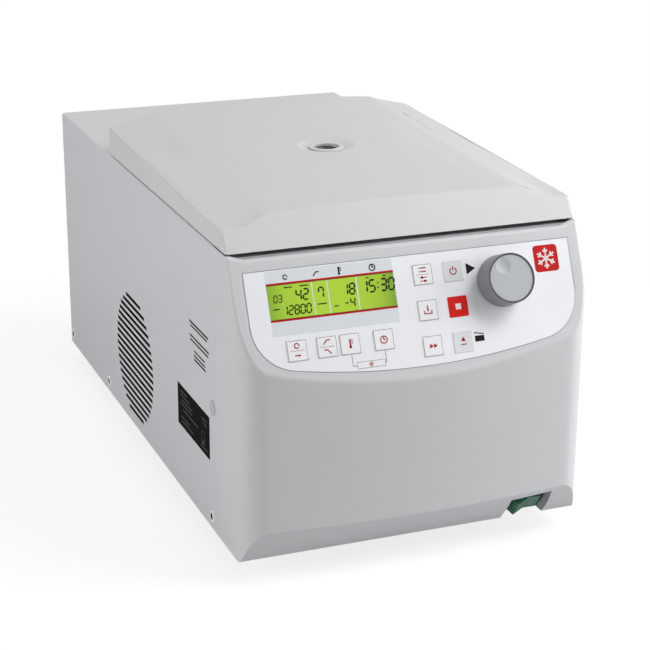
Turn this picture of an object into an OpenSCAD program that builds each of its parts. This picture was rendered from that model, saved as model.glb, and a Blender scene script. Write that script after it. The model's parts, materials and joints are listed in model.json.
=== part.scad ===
// Bench-top refrigerated centrifuge for small tubes.
// Millimetres, +Z up, front towards -Y, origin under the middle of the footprint.

/* [Housing] */
// Width over the two side panels
body_w = 283; // [270:1:300]
// Depth from the crown of the front to the rear edge of the cover
body_d = 545; // [535:1:580]
// Height of the side panels
side_h = 233; // [228:1:250]
// Sheet of the cover
cover_t = 2; // [1.5:0.5:2.5]
// Width of the inward flanges along the top of the sides
top_flange_w = 10; // [8:1:14]
// How far the rear panel sits inside the cover
rear_inset = 3; // [3:0.5:12]
// Sheet of the rear panel
rear_t = 1.5; // [1:0.5:2.5]
// Sheet of the base pan
base_t = 2; // [1.5:0.5:3]
// Height of the base pan's upturned flanges
base_flange_h = 22; // [20:1:30]
// Gap between fixed pieces that lie side by side
seat_gap = 0.2; // [0.1:0.05:0.3]

/* [Front panel] */
// Width of the corners where the front rises to the deck
ear_w = 13; // [10:0.5:16]
// Wall of the moulded front
front_t = 3; // [2.5:0.5:4]
// Radius of the front's upright corners
corner_r = 22; // [16:1:28]
// Radius of the front's slow bulge
front_r = 1080; // [900:10:1500]
// Distance from the crown of the front to the seam at the cover
seam_d = 73; // [66:1:80]
// Width of the seam
seam_gap = 0.6; // [0.3:0.1:1]
// Height of the lower chamfer
chamfer_h = 28; // [24:1:32]
// Depth of the lower chamfer under the crown
chamfer_d = 25.2; // [22:0.2:28]
// Height of the upright land along the lower edge
edge_land = 0.5; // [0.3:0.1:1]
// Depth of the bottom lip behind the chamfer
lip_d = 22; // [21.5:0.5:26]
// Thickness of the tongues that hold the front to the cover
tongue_t = 2; // [1.5:0.5:3]
// Length of the tongues behind the seam
tongue_l = 15; // [14:1:18]
// Lean of the fascia from upright
fascia_lean = 24; // [20:0.5:27]
// Distance from the crown of the front to the top edge of the fascia
fascia_setback = 41.2; // [38:0.2:44]

/* [Operating foil] */
// Width of the foil
foil_w = 263; // [255:1:264]
// Distance of the foil's top edge from the top of the fascia
foil_top = 9; // [7:0.5:12]
// Distance of the foil's lowest point from the top of the fascia
foil_low = 92.6; // [90:0.2:95]
// Radius of the foil's lower edge
foil_r = 580; // [450:10:800]
// Radius of the foil's lower corners
foil_corner_r = 35; // [25:1:40]
// Thickness of the foil
foil_t = 0.8; // [0.6:0.1:1]
// Depth of the recess that the foil lies in
foil_recess = 0.6; // [0.4:0.1:0.8]

/* [Keys] */
// Width of a key
key_w = 15.6; // [14:0.2:16]
// Height of a key
key_h = 15.4; // [14:0.2:16]
// Corner radius of a key
key_r = 1; // [0.5:0.1:2]
// How far a key stands out of the foil
key_proud = 0.5; // [0.3:0.1:1]
// Travel of a key
key_travel = 0.6; // [0.4:0.1:0.8]
// Free gap around a key
key_gap = 0.3; // [0.25:0.05:0.4]
// Extra height of a key's retaining flange
key_flange_extra = 4; // [3:0.5:5]
// Extra width of a key's retaining flange
key_flange_side = 1.4; // [1:0.1:1.6]
// Thickness of a key's retaining flange
key_flange_t = 1.2; // [1:0.1:1.5]
// Radius of a key's plunger
plunger_r = 2.5; // [2:0.1:3]
// Distance of the setting row below the top of the fascia
set_row = 69.1; // [67:0.1:71]
// Distance of the upper run row below the top of the fascia
run_row = 24.8; // [23:0.1:27]
// Distance between the run rows
run_pitch = 26.8; // [25:0.1:28]
// Place of the speed key across the fascia
speed_u = -98.4; // [-101:0.1:-97]
// Place of the ramp key across the fascia
ramp_u = -75.3; // [-77:0.1:-75.2]
// Place of the temperature key across the fascia
temperature_u = -57.3; // [-57.4:0.1:-55]
// Place of the time key across the fascia
time_u = -30.7; // [-33:0.1:-28]
// Place of the program column across the fascia
program_u = 7.6; // [5:0.1:10]
// Place of the start and stop column across the fascia
start_u = 32.4; // [30:0.1:35]

/* [Display] */
// Place of the display across the fascia
lcd_u = -65.4; // [-68:0.1:-62]
// Distance of the display's middle below the top of the fascia
lcd_row = 32.9; // [31:0.1:35]
// Width of the display window
lcd_w = 99.4; // [90:0.2:104]
// Height of the display window
lcd_h = 24.9; // [20:0.1:27]
// Ledge in the fascia that carries the window
lcd_ledge = 1.2; // [0.8:0.1:1.6]
// Border of the display module around its window
lcd_border = 3; // [2:0.5:4]

/* [Control board] */
// Depth of the control board's face behind the fascia
board_d = 12; // [11:0.2:14]
// Thickness of the circuit boards
board_t = 1.6; // [1.2:0.2:2]
// Width of the control board
board_w = 222; // [215:1:226]
// Height of the control board
board_h = 82; // [80:1:84]
// Height of the board's middle below the top of the fascia
board_row = 51; // [50:0.5:53]
// Radius of the domes under the keys
dome_r = 3; // [2.5:0.1:3.5]
// Free gap between a pressed key and its dome
dome_gap = 0.4; // [0.3:0.1:0.6]
// Radius of the board's standing posts
post_r = 3; // [2.5:0.5:4]

/* [Knob] */
// Place of the knob across the fascia
knob_u = 71; // [69:0.1:76]
// Distance of the knob's axis below the top of the fascia
knob_row = 36.4; // [34:0.1:39]
// Radius at the foot of the knob
knob_r = 19.9; // [18:0.1:22]
// Radius of the knob's face
knob_face_r = 18.9; // [16:0.1:19.4]
// Length of the knob
knob_l = 17.7; // [16:0.1:19.6]
// Wall of the knob
knob_t = 2.5; // [2:0.1:3]
// Gap between the knob and the foil
knob_gap = 0.8; // [0.5:0.1:1.2]
// Radius of the rim's step around the face
knob_step = 1.4; // [1:0.1:2]
// Depth of the face inside its rim
knob_face_sink = 0.6; // [0.3:0.1:1]
// Radius of the finger dimple's ball
dimple_ball_r = 11; // [10:0.5:13]
// Depth of the finger dimple
dimple_sink = 1.9; // [1:0.1:2.1]
// Distance of the finger dimple from the knob's axis
dimple_off = 11; // [9:0.5:11.2]
// Angle of the finger dimple, anticlockwise from the right
dimple_angle = 118; // [90:1:150]
// Radius of the encoder spindle
spindle_r = 3; // [2.5:0.1:3.5]
// Radius of the encoder bush
bush_r = 4.5; // [4.2:0.1:5]
// Length of the encoder bush in front of the fascia
bush_l = 4; // [3:0.5:5]
// Side of the encoder's square body
encoder_w = 14; // [12:0.5:16]
// Running clearance on a radius
run_gap = 0.05; // [0.03:0.01:0.08]

/* [Power switch] */
// Distance of the switch from the right side
switch_in = 46.4; // [42:0.2:50]
// Width of the pocket in the chamfer
pocket_w = 36.5; // [35:0.5:40]
// Length of the pocket up the chamfer
pocket_l = 30; // [29:0.5:31]
// Depth of the pocket
pocket_d = 9.5; // [9:0.1:10.5]
// Wall of the pocket
pocket_t = 2.5; // [2:0.5:3]
// Distance of the switch's middle up the chamfer
switch_row = 14; // [13:0.1:15]
// Width of the switch's bezel
bezel_w = 31; // [30.5:0.5:34]
// Height of the switch's bezel
bezel_h = 22; // [21.5:0.5:24]
// Height of the bezel
bezel_t = 6; // [5.5:0.1:6.5]
// Depth of the rocker's pivot below the bezel's top
pivot_in = 2; // [1.8:0.1:2.5]
// Width of the switch's body behind the bezel
switch_w = 28.4; // [28:0.1:29]
// Height of the switch's body
switch_h = 19.4; // [19.2:0.1:20]
// Depth of the switch's body
switch_d = 20; // [18:0.5:24]
// Radius of the rocker's round ends
rocker_r = 12.5; // [12:0.1:12.6]
// Height of the rocker, across its tipping direction
rocker_h = 16.6; // [16:0.1:16.8]
// Free gap around the rocker
rocker_gap = 0.4; // [0.3:0.05:0.5]
// Tilt of the rocker to each side
rocker_tilt = 12; // [10:0.5:13]
// Height of the rocker's middle above its pivot
rocker_mid = 4; // [3:0.1:5]
// Slope of the rocker's two faces
rocker_slope = 13; // [10:0.5:15]
// Depth of the rocker below its pivot
rocker_low = 4; // [3:0.1:5]
// Radius of the rocker's pivot pin
pivot_r = 1.5; // [1.2:0.1:1.8]

/* [Lid] */
// How far the lid's lower front edge lies behind the front
lid_in = 45.2; // [43:0.2:48]
// Length of the lid along its lower edge
lid_l = 323; // [315:1:325]
// Gap between the lid and the deck behind it
lid_rear_gap = 1.3; // [1:0.1:2]
// Gap between the lid and the side panels
lid_side_gap = 1; // [0.8:0.1:1.5]
// Gap between the lid and the front panel
lid_front_gap = 4; // [3:0.1:5]
// Wall of the lid
lid_t = 3; // [2.5:0.1:3.5]
// Height of the lid's side at the rear
lid_edge_h = 22.4; // [20:0.2:26]
// Slope of the lid's top towards the front
lid_slope = 1.23; // [0.8:0.05:1.6]
// Lean of the lid's front face from upright
lid_lean = 34; // [28:0.5:38]
// Rise of the plateau above the lid's edge
plateau_rise = 9.3; // [7:0.1:11]
// Half width of the plateau's top at the rear
plateau_rear = 103; // [98:0.5:108]
// Half width of the plateau's top at the front
plateau_front = 96; // [92:0.5:98]
// Width of the shoulder at the rear
shoulder_rear = 17; // [14:0.5:20]
// Width of the shoulder at the front
shoulder_front = 40; // [34:0.5:40.5]
// Part of the shoulder that is hollow, from its foot up
hollow_share = 0.55; // [0.45:0.01:0.6]
// Crown of the plateau at its rear edge
crown_rear = 4.2; // [3.5:0.1:4.4]
// Crown of the plateau at the sight glass
crown_mid = 4.7; // [4.4:0.1:5.2]
// Crown of the plateau at its front edge
crown_front = 1; // [0.6:0.1:1.6]
// Cut along the lid's lower rear edge
lid_rear_cut = 5; // [4.5:0.1:6]
// Thickness of the lid's inner panel
liner_t = 3; // [2:0.1:4]
// Radius of the sight glass
window_r = 10.4; // [9:0.1:12]
// Thickness of the sight glass
window_t = 2.5; // [2:0.1:3]
// Wall of the sight glass's tube
tube_t = 2.1; // [1.8:0.1:2.5]
// Ledge under the sight glass
window_ledge = 1; // [0.8:0.1:1.5]
// Radius of the dimple around the sight glass
dish_r = 25; // [22:0.5:28]
// Depth of the dimple around the sight glass
dish_d = 5; // [4:0.1:6]
// Wall around the dimple
dish_wall = 3; // [2.5:0.1:4]

/* [Hinge and latch] */
// Distance of the hinge axis in front of the lid's rear edge
hinge_in = 9; // [8.5:0.1:10]
// Height of the hinge axis above the lid's lower edge
hinge_up = 13; // [12.5:0.1:14]
// Distance of each hinge from the middle
hinge_x = 80; // [70:1:86]
// Radius of the hinge pins
hinge_pin_r = 2.5; // [2:0.1:2.8]
// Radius of the hinge eyes
hinge_eye_r = 5.5; // [5:0.1:5.6]
// Thickness of the fixed hinge eye
hinge_ear_w = 8; // [6:0.5:10]
// Thickness of the lid's hinge arms
hinge_arm_t = 4; // [3:0.5:5]
// Side gap in the hinge
hinge_side_gap = 0.4; // [0.3:0.1:0.6]
// Half height of the hinge bracket's neck
neck_h = 4.5; // [4:0.1:5]
// Distance of the bracket's leg in front of the axis
leg_in = 13; // [12.6:0.1:14]
// Depth of the bracket's leg
leg_d = 9; // [7:0.5:10]
// Thickness of the bracket's foot
hinge_foot_t = 3; // [2.5:0.1:3.1]
// Half width of the bracket's foot
hinge_foot_w = 14; // [10:0.5:18]
// Length of the lid's hinge arms
hinge_arm_l = 45; // [40:1:60]
// Distance of the latch hook behind the lid's front edge
hook_in = 22; // [20:0.5:23]
// Width of the hook along the lid
hook_d = 14; // [12:0.5:15]
// Thickness of the hook
hook_t = 5; // [4:0.5:6]
// Length of the hook below the lid
hook_l = 36; // [34:0.5:38]
// Thickness of the hook's plate
hook_plate_t = 2.5; // [2:0.1:2.8]
// Half width of the hook's plate
hook_plate_w = 12; // [10:0.5:15]
// Height of the bolt's axis above the tip of the hook
bolt_up = 10; // [9:0.5:12]
// Radius of the lock bolt
bolt_r = 4; // [3:0.1:4.2]
// Free gap around the bolt in the hook's eye
bolt_eye_gap = 0.8; // [0.5:0.1:1]
// Travel of the lock bolt
bolt_travel = 14; // [13:0.5:15]
// Gap between the drawn-back bolt and the hook
bolt_gap = 4.5; // [4:0.1:5]
// Room around the hook in the lock
hook_room = 4.5; // [4.2:0.1:5]
// Wall of the lock's case
lock_t = 2; // [1.5:0.1:3]
// Depth of the lock's case below the frame
lock_h = 39; // [37:0.5:44]
// Length of the lock's case beside the hook
lock_l = 30; // [28:0.5:36]

/* [Chamber] */
// Gap between the lid lock and the insulation
chamber_gap = 8.2; // [6:0.1:10]
// Inner radius of the bowl
bowl_r = 103; // [95:0.5:106]
// Sheet of the bowl
bowl_t = 1.5; // [1:0.1:2]
// Depth of the bowl below its rim
bowl_d = 118; // [112:1:122]
// Radius of the bowl's lower corner
bowl_corner_r = 14; // [8:0.5:20]
// Width of the bowl's rim
rim_w = 10; // [9:0.5:12]
// Radius of the hole in the bowl's floor
bowl_hole_r = 26; // [24:0.5:28]
// Thickness of the top frame
frame_t = 4; // [3:0.5:6]
// Thickness of the evaporator jacket
jacket_t = 3.2; // [2.5:0.1:4]
// Height of the evaporator jacket
jacket_h = 84; // [70:1:90]
// Thickness of the insulation
foam_t = 11.5; // [9:0.1:11.8]
// Thickness of the insulation under the bowl
foam_floor_t = 12; // [10:0.5:12.5]
// Height of the gap between the gasket and the lid
gasket_gap = 0.3; // [0.25:0.05:0.4]
// Thickness of the boot's flange on the bowl's floor
boot_t = 2.5; // [2:0.1:3]
// Wall of the boot
boot_wall = 2.5; // [2:0.1:3.5]
// Reach of the boot below the bowl's floor
boot_l = 8; // [6:0.5:9]

/* [Drive] */
// Radius of the shaft
shaft_r = 8; // [7:0.1:9]
// Radius of the shaft's threaded tip
tip_r = 5; // [4:0.1:6]
// Radius of the motor
motor_r = 45; // [38:0.5:50]
// Height of the motor
motor_h = 62; // [55:0.5:64]
// Radius of the motor's neck
neck_r = 18; // [16:0.5:20]
// Height of the motor's neck above the bowl's floor
neck_up = 8; // [6:0.5:10]
// Outer radius of the bearings
bearing_r = 14; // [12.5:0.1:14.5]
// Height of a bearing
bearing_h = 9; // [8:0.5:11]
// Radius of the motor plate
plate_r = 66; // [60:0.5:68]
// Thickness of the motor plate
plate_t = 6; // [4:0.5:8]
// Radius of the rubber dampers
damper_r = 11; // [9:0.5:13]
// Height of the rubber dampers
damper_h = 20; // [16:0.5:21]
// Distance of the dampers from the axis
damper_off = 52; // [48:0.5:54]
// Number of dampers
damper_count = 3; // [3:1:4]

/* [Rotor] */
// Radius of the rotor
rotor_r = 88; // [80:0.5:92]
// Height of the rotor under its lid
rotor_h = 52; // [46:0.5:54]
// Gap between the motor's neck and the rotor
rotor_gap = 6; // [4:0.5:8]
// Height of the rotor's outer band
rotor_band = 30; // [24:0.5:34]
// Radius of the rotor's hub
hub_r = 30; // [26:0.5:36]
// Height of the rotor lid
rotor_lid_h = 7; // [5:0.5:9]
// Radius of the rotor nut
nut_r = 17; // [14:0.5:20]
// Height of the rotor nut
nut_h = 13; // [10:0.5:14]
// Number of grip flutes on the nut
nut_flutes = 8; // [6:1:12]
// Radius of a grip flute
flute_r = 3; // [2:0.5:4]

/* [Cooling] */
// Gap between the fan and the insulation in front of it
fan_clear = 13.8; // [7:0.1:15]
// Height of the fan's axis above the base
fan_up = 65.5; // [63:0.5:68]
// Radius of the round grille
grille_r = 57.5; // [52:0.5:58]
// Number of slots in the grille
grille_count = 18; // [14:1:20]
// Pitch of the slots
grille_pitch = 6.2; // [5.6:0.1:6.4]
// Height of a slot
grille_slot = 3.2; // [2.5:0.1:3.6]
// Radius of the fan's frame
fan_r = 60; // [58:0.5:61]
// Depth of the fan's frame
fan_d = 22; // [20:0.5:22]
// Wall of the fan's frame
fan_wall = 2.5; // [2:0.5:3]
// Radius of the impeller's hub
fan_hub_r = 18; // [15:0.5:20]
// Free gap around the blades
fan_gap = 2; // [1.5:0.1:3]
// Number of blades
blade_count = 7; // [5:1:9]
// Pitch angle of a blade
blade_angle = 35; // [28:1:40]
// Thickness of a blade
blade_t = 1.6; // [1.2:0.1:2]
// Chord of a blade
blade_c = 17; // [14:0.5:18]
// Radius of the fan's axle
axle_r = 3; // [2.5:0.1:3.5]
// Number of spokes in the fan's frame
spoke_count = 4; // [3:1:5]
// Width of a spoke
spoke_w = 5; // [4:0.5:6]
// Depth of the spokes
spoke_d = 3; // [2:0.5:4]
// Gap between the fan and the condenser
condenser_gap = 5; // [3:0.5:8]
// Depth of the condenser
condenser_t = 33; // [28:0.5:34]
// Length of the condenser
condenser_l = 110; // [100:1:112]
// Height of the condenser
condenser_h = 92; // [80:1:94]
// Number of fins
fin_count = 26; // [20:1:30]
// Thickness of a fin
fin_t = 1; // [0.8:0.1:1.4]
// Number of tubes through the fins
tube_count = 4; // [3:1:5]
// Radius of the refrigerant pipes
pipe_r = 3.5; // [3:0.1:4]
// Radius of the compressor
comp_r = 52; // [46:0.5:54]
// Height of the compressor's can
comp_h = 118; // [100:1:125]
// Distance of the compressor's axis to the right of the middle
comp_x = 62; // [60:0.5:66]
// Distance of the compressor's axis in front of the rear edge
comp_in = 87; // [80:0.5:90]
// Height of the compressor's rubber grommets
grommet_h = 8; // [6:0.5:10]
// Radius of the grommets
grommet_r = 7; // [6:0.5:8]
// Thickness of the compressor's foot plate
comp_foot_t = 4; // [3:0.5:5]
// Radius of the filter drier
drier_r = 10; // [8:0.5:12]
// Length of the filter drier
drier_l = 70; // [60:1:80]

/* [Fittings] */
// Height of the rubber feet
foot_h = 18; // [14:0.5:20]
// Radius at the top of a foot
foot_r = 15; // [12:0.5:18]
// Radius at the bottom of a foot
foot_tip_r = 12; // [10:0.5:15]
// Distance of the feet from the sides
foot_side = 36; // [32:1:45]
// Distance of the front feet from the crown of the front
foot_front = 95; // [85:1:110]
// Distance of the rear feet from the rear edge
foot_rear = 60; // [45:1:80]
// Height of the cover screws above the lower edge
screw_up = 10; // [8:0.5:12]
// Distance of the front cover screws behind the seam
screw_front = 13; // [11:0.5:16]
// Distance of the middle cover screws in front of the rear edge
screw_mid = 147.5; // [130:0.5:160]
// Distance of the rear cover screws in front of the rear edge
screw_rear = 8.5; // [8:0.5:16]
// Radius of a screw's shank
screw_r = 1.5; // [1.2:0.1:2]
// Radius of a screw's washer head
screw_head_r = 4.6; // [4:0.1:5.5]
// How far a screw's head stands out
screw_proud = 0.5; // [0.3:0.1:0.8]
// Distance of the release plug behind the seam
plug_in = 7.2; // [6.8:0.1:9]
// Height of the release plug above the lower edge
plug_up = 103; // [98:0.5:110]
// Radius of the release plug's head
plug_r = 6.4; // [5.5:0.1:6.4]
// Radius of the release plug's stem
plug_stem_r = 4.5; // [3.5:0.1:5]
// Length of the release plug's stem
plug_l = 9; // [8:0.5:12]
// Distance of the rating plate behind the seam
plate_in = 16; // [12:0.5:20]
// Height of the rating plate's lower edge above the housing's
plate_up = 56; // [50:0.5:60]
// Length of the rating plate
plate_l = 83.5; // [70:0.5:90]
// Height of the rating plate
plate_h = 35.5; // [30:0.5:40]
// Thickness of the rating plate
rating_t = 0.5; // [0.3:0.1:0.8]
// Distance of the mains inlet to the left of the middle
inlet_off = 95; // [85:1:100]
// Height of the mains inlet above the lower edge
inlet_up = 42; // [38:0.5:50]
// Width of the inlet's flange
inlet_flange_w = 50; // [48:0.5:54]
// Height of the inlet's flange
inlet_flange_h = 28; // [26:0.5:32]
// Thickness of the inlet's flange
inlet_flange_t = 2.5; // [2:0.1:3]
// Width of the inlet's body
inlet_w = 28; // [27:0.1:30]
// Height of the inlet's body
inlet_h = 20.6; // [20:0.1:22]
// Depth of the inlet's body
inlet_d = 24; // [20:0.5:28]
// Wall of the inlet's body
inlet_wall = 1.8; // [1.5:0.1:2]
// Width of an inlet blade
blade_w = 2; // [1.8:0.1:2.2]
// Height of an inlet blade
blade_h = 4; // [3.8:0.1:4.1]
// Number of vent slots in the rear panel
vent_count = 12; // [8:1:14]
// Pitch of the vent slots
vent_pitch = 9; // [8:0.5:10]
// Width of a vent slot
vent_w = 4; // [3:0.1:5]
// Height of a vent slot
vent_h = 90; // [70:1:110]
// Distance of the power board inside the cover
power_in = 16; // [12:0.5:20]
// Length of the power board
power_l = 130; // [110:1:140]
// Height of the power board
power_h = 78; // [60:1:85]
// Height of the largest blocks on the power board
block_h = 34; // [20:1:38]
// Radius of the lid buffers
buffer_r = 5; // [4:0.1:6]

/* [Hidden] */
$fn = 64;
EPS = 0.01;
FAR = 600;
ARC_STEPS = 10;
BULGE_STEPS = 28;

// Main planes
half_w = body_w / 2;
front_y = -body_d / 2;
rear_y = body_d / 2;
base_z = foot_h;
deck_z = base_z + side_h;
lid_z = deck_z + lid_side_gap;
front_top_z = lid_z - lid_front_gap;
seam_y = front_y + seam_d;
cover_front_y = seam_y + seam_gap;
lid_front_y = front_y + lid_in;
lid_rear_y = lid_front_y + lid_l;
deck_front_y = lid_rear_y + lid_rear_gap;
inside_w = half_w - cover_t - seat_gap;
floor_z = base_z + base_t;
rear_panel_y = rear_y - rear_inset - rear_t;

// Front panel
bulge_y = front_y + front_r;
corner_x = half_w - corner_r;
corner_y = bulge_y - sqrt(pow(front_r - corner_r, 2) - pow(corner_x, 2));
corner_a = atan2(corner_y - bulge_y, corner_x);
low_front_y = front_y + chamfer_d;
base_front_y = low_front_y + lip_d;
fascia_y = front_y + fascia_setback;
key_window_w = key_w + 2 * key_gap;
key_window_h = key_h + 2 * key_gap;
plunger_d = front_t + 2 * key_gap + key_flange_t + 2 * key_travel;

// Lid
crown_run = (lid_edge_h + plateau_rise - lid_l * tan(lid_slope)) * tan(lid_lean);
hinge_y = lid_rear_y - hinge_in;
hinge_z = lid_z + hinge_up;
hinge_span = hinge_ear_w / 2 + hinge_side_gap + hinge_arm_t;
hook_y = lid_front_y + hook_in;
bolt_z = lid_z - hook_l + bolt_up;

// Chamber
frame_top_z = deck_z - cover_t - seat_gap;
frame_low_z = frame_top_z - frame_t;
frame_front_y = fascia_y + front_t / cos(fascia_lean) + seat_gap
    + (frame_top_z - front_top_z) * tan(fascia_lean);
frame_rear_y = deck_front_y + top_flange_w;
bowl_floor_z = frame_top_z + bowl_t - bowl_d;
bowl_out_r = bowl_r + bowl_t;
jacket_r = bowl_out_r + seat_gap;
foam_r = jacket_r + jacket_t + seat_gap;
chamber_y = hook_y + hook_d / 2 + hook_room + lock_t + chamber_gap + foam_r + foam_t;
foam_low_z = bowl_floor_z - bowl_t - seat_gap - foam_floor_t;
gasket_z = frame_top_z + bowl_t;
lid_top_z = lid_z + lid_edge_h + plateau_rise + crown_mid
    - (lid_rear_y - chamber_y) * tan(lid_slope);
dish_ball_r = (pow(dish_r, 2) + pow(dish_d, 2)) / (2 * dish_d);
tube_r = window_r + run_gap + tube_t;
window_z = lid_top_z - dish_d + window_ledge;

// Drive
plate_z = floor_z + damper_h;
motor_z = plate_z + plate_t;
neck_z = bowl_floor_z + neck_up;
rotor_z = neck_z + rotor_gap;
rotor_top_z = rotor_z + rotor_h;
nut_z = rotor_top_z + seat_gap + rotor_lid_h + gasket_gap;
shaft_low_z = motor_z + bearing_h;
shaft_top_z = rotor_top_z - tip_r;
tip_z = nut_z + nut_h - tip_r / 2;

// Cooling
fan_z = base_z + fan_up;
fan_x = -inside_w + base_t + seat_gap;
fan_y = chamber_y + sqrt(max(0, pow(foam_r + foam_t, 2) - pow(fan_x + fan_d, 2)))
    + sqrt(max(0, pow(fan_r, 2) - pow(max(0, foam_low_z - fan_z), 2))) + fan_clear;
blade_r = fan_r - fan_wall - fan_gap;
condenser_x = fan_x + fan_d + condenser_gap;
condenser_y = fan_y - condenser_l / 2;
comp_y = rear_y - comp_in;
comp_z = floor_z + grommet_h + comp_foot_t;

// Rocker
switch_x = half_w - switch_in;
rocker_axis_n = -pocket_d + bezel_t - pivot_in;

function arc_points(cx, cy, r, a0, a1, n) =
    [for (i = [0:n]) [cx + r * cos(a0 + (a1 - a0) * i / n), cy + r * sin(a0 + (a1 - a0) * i / n)]];
function rest(points) = [for (i = [1:len(points) - 1]) points[i]];
function bulge_sag(x) = front_r - sqrt(pow(front_r, 2) - pow(x, 2));

// Shared shapes

module plan_box(x0, x1, y0, y1, z0, z1) {
    translate([x0, y0, z0])
        cube([x1 - x0, y1 - y0, z1 - z0]);
}

module both_sides() {
    children();
    mirror([1, 0, 0])
        children();
}

module ring(r_in, r_out, z0, z1) {
    translate([0, chamber_y, z0])
        difference() {
            cylinder(h = z1 - z0, r = r_out);
            translate([0, 0, -EPS])
                cylinder(h = z1 - z0 + 2 * EPS, r = r_in);
        }
}

module rounded_rect(w, h, r) {
    polygon(concat(
        arc_points(w / 2 - r, h / 2 - r, r, 0, 90, ARC_STEPS / 2),
        arc_points(-w / 2 + r, h / 2 - r, r, 90, 180, ARC_STEPS / 2),
        arc_points(-w / 2 + r, -h / 2 + r, r, 180, 270, ARC_STEPS / 2),
        arc_points(w / 2 - r, -h / 2 + r, r, 270, 360, ARC_STEPS / 2)));
}

module x_cylinder(x0, x1, y, z, r) {
    translate([x0, y, z])
        rotate([0, 90, 0])
            cylinder(h = x1 - x0, r = r);
}

// Local frame on the fascia: X across, Y up the fascia, Z out of it
module on_fascia(u, row) {
    translate([u, fascia_y - row * sin(fascia_lean), front_top_z - row * cos(fascia_lean)])
        rotate([90 - fascia_lean, 0, 0])
            children();
}

// Local frame on the chamfer at the switch: X across, Y up the chamfer, Z out of it
module on_chamfer() {
    translate([switch_x, low_front_y, base_z])
        rotate([90 + atan2(chamfer_d - bulge_sag(switch_x), chamfer_h), 0, 0])
            children();
}

// Outline of the front seen from above, drawn in by t and open past the seam by over
module front_plan(t, over) {
    polygon(concat(
        [[half_w - t, seam_y + over]],
        arc_points(corner_x, corner_y, corner_r - t, 0, corner_a, ARC_STEPS),
        arc_points(0, bulge_y, front_r - t, corner_a, -180 - corner_a, BULGE_STEPS),
        arc_points(-corner_x, corner_y, corner_r - t, -180 - corner_a, -180, ARC_STEPS),
        [[-half_w + t, seam_y + over]]));
}

// Solid inside the front panel's outer faces, drawn in by t
module front_form(t) {
    chamfer_in = t * sqrt(pow(chamfer_d, 2) + pow(chamfer_h, 2)) / chamfer_h;
    over = t > 0 ? 1 : 0;
    wide = half_w + corner_r;
    side_a = asin(wide / (front_r - t));
    difference() {
        intersection() {
            translate([0, 0, base_z - over])
                linear_extrude(side_h + 2 * over)
                    front_plan(t, over);
            hull() {
                plan_box(-wide, wide, low_front_y + chamfer_in, seam_y + wide,
                    base_z - 2, base_z + edge_land);
                translate([0, 0, base_z + chamfer_h])
                    linear_extrude(side_h)
                        polygon(concat(
                            arc_points(0, bulge_y, front_r - t, -90 - side_a, -90 + side_a, BULGE_STEPS),
                            [[wide, seam_y + wide], [-wide, seam_y + wide]]));
            }
        }
        on_fascia(0, 0)
            translate([-FAR / 2, -FAR / 2, -t])
                cube(FAR);
    }
}

// Outline of the operating foil on the fascia, grown by g
module foil_outline(g) {
    w = foil_w / 2;
    mid = foil_r - foil_low;
    cx = w - foil_corner_r;
    cy = mid - sqrt(pow(foil_r - foil_corner_r, 2) - pow(cx, 2));
    a = atan2(cy - mid, cx);
    polygon(concat(
        [[w + g, -foil_top + g]],
        arc_points(cx, cy, foil_corner_r + g, 0, a, ARC_STEPS),
        arc_points(0, mid, foil_r + g, a, -180 - a, BULGE_STEPS),
        arc_points(-cx, cy, foil_corner_r + g, -180 - a, -180, ARC_STEPS),
        [[-w - g, -foil_top + g]]));
}

// Half outline across the lid, drawn in by t; s: place along it, plateau, shoulder, crown
function lid_half(s, t) =
    let (lean = 2 * atan(plateau_rise / s[2]), hollow_r = hollow_share * s[2] / sin(lean),
        brow_r = s[2] / sin(lean) - hollow_r, top_z = lid_edge_h + plateau_rise,
        crown_r = (pow(s[1], 2) + pow(s[3], 2)) / (2 * s[3]))
    concat([[half_w - t, -lid_edge_h], [half_w - t, lid_edge_h - t]],
        arc_points(s[1] + s[2], lid_edge_h + hollow_r, hollow_r + t, -90, -90 - lean, ARC_STEPS),
        rest(arc_points(s[1], top_z - brow_r, brow_r - t, 90 - lean, 90, ARC_STEPS)),
        rest(arc_points(0, top_z + s[3] - crown_r - t, crown_r, 90 - asin(s[1] / crown_r), 90, ARC_STEPS)));

// Points around the lid at one place along it
function lid_loop(s, t) =
    let (right = lid_half(s, t))
    concat([for (p = right) [p[0], s[0], p[1]]],
        [for (i = [len(right) - 2:-1:0]) [-right[i][0], s[0], right[i][1]]]);

// Skin through the loops from the rear to the front
module lid_skin(t) {
    run = lid_edge_h + lid_l;
    mid = (lid_edge_h + lid_rear_y - chamber_y) / run;
    loops = [
        lid_loop([lid_edge_h, plateau_rear, shoulder_rear, crown_rear], t),
        lid_loop([chamber_y - lid_rear_y, plateau_rear + mid * (plateau_front - plateau_rear),
            shoulder_rear + mid * (shoulder_front - shoulder_rear), crown_mid], t),
        lid_loop([-lid_l + crown_run, plateau_front, shoulder_front, crown_front], t),
        lid_loop([-lid_l - lid_edge_h, plateau_front, shoulder_front, crown_front], t)];
    n = len(loops[0]);
    last = (len(loops) - 1) * n;
    polyhedron(
        points = [for (l = loops) each l],
        faces = concat([[for (j = [0:n - 1]) j]], [[for (j = [n - 1:-1:0]) last + j]],
            [for (i = [0:n:last - n], j = [0:n - 1], k = [0, 1])
                let (a = i + j, b = i + (j + 1) % n)
                k == 0 ? [a, a + n, b] : [b, a + n, b + n]]));
}

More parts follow.
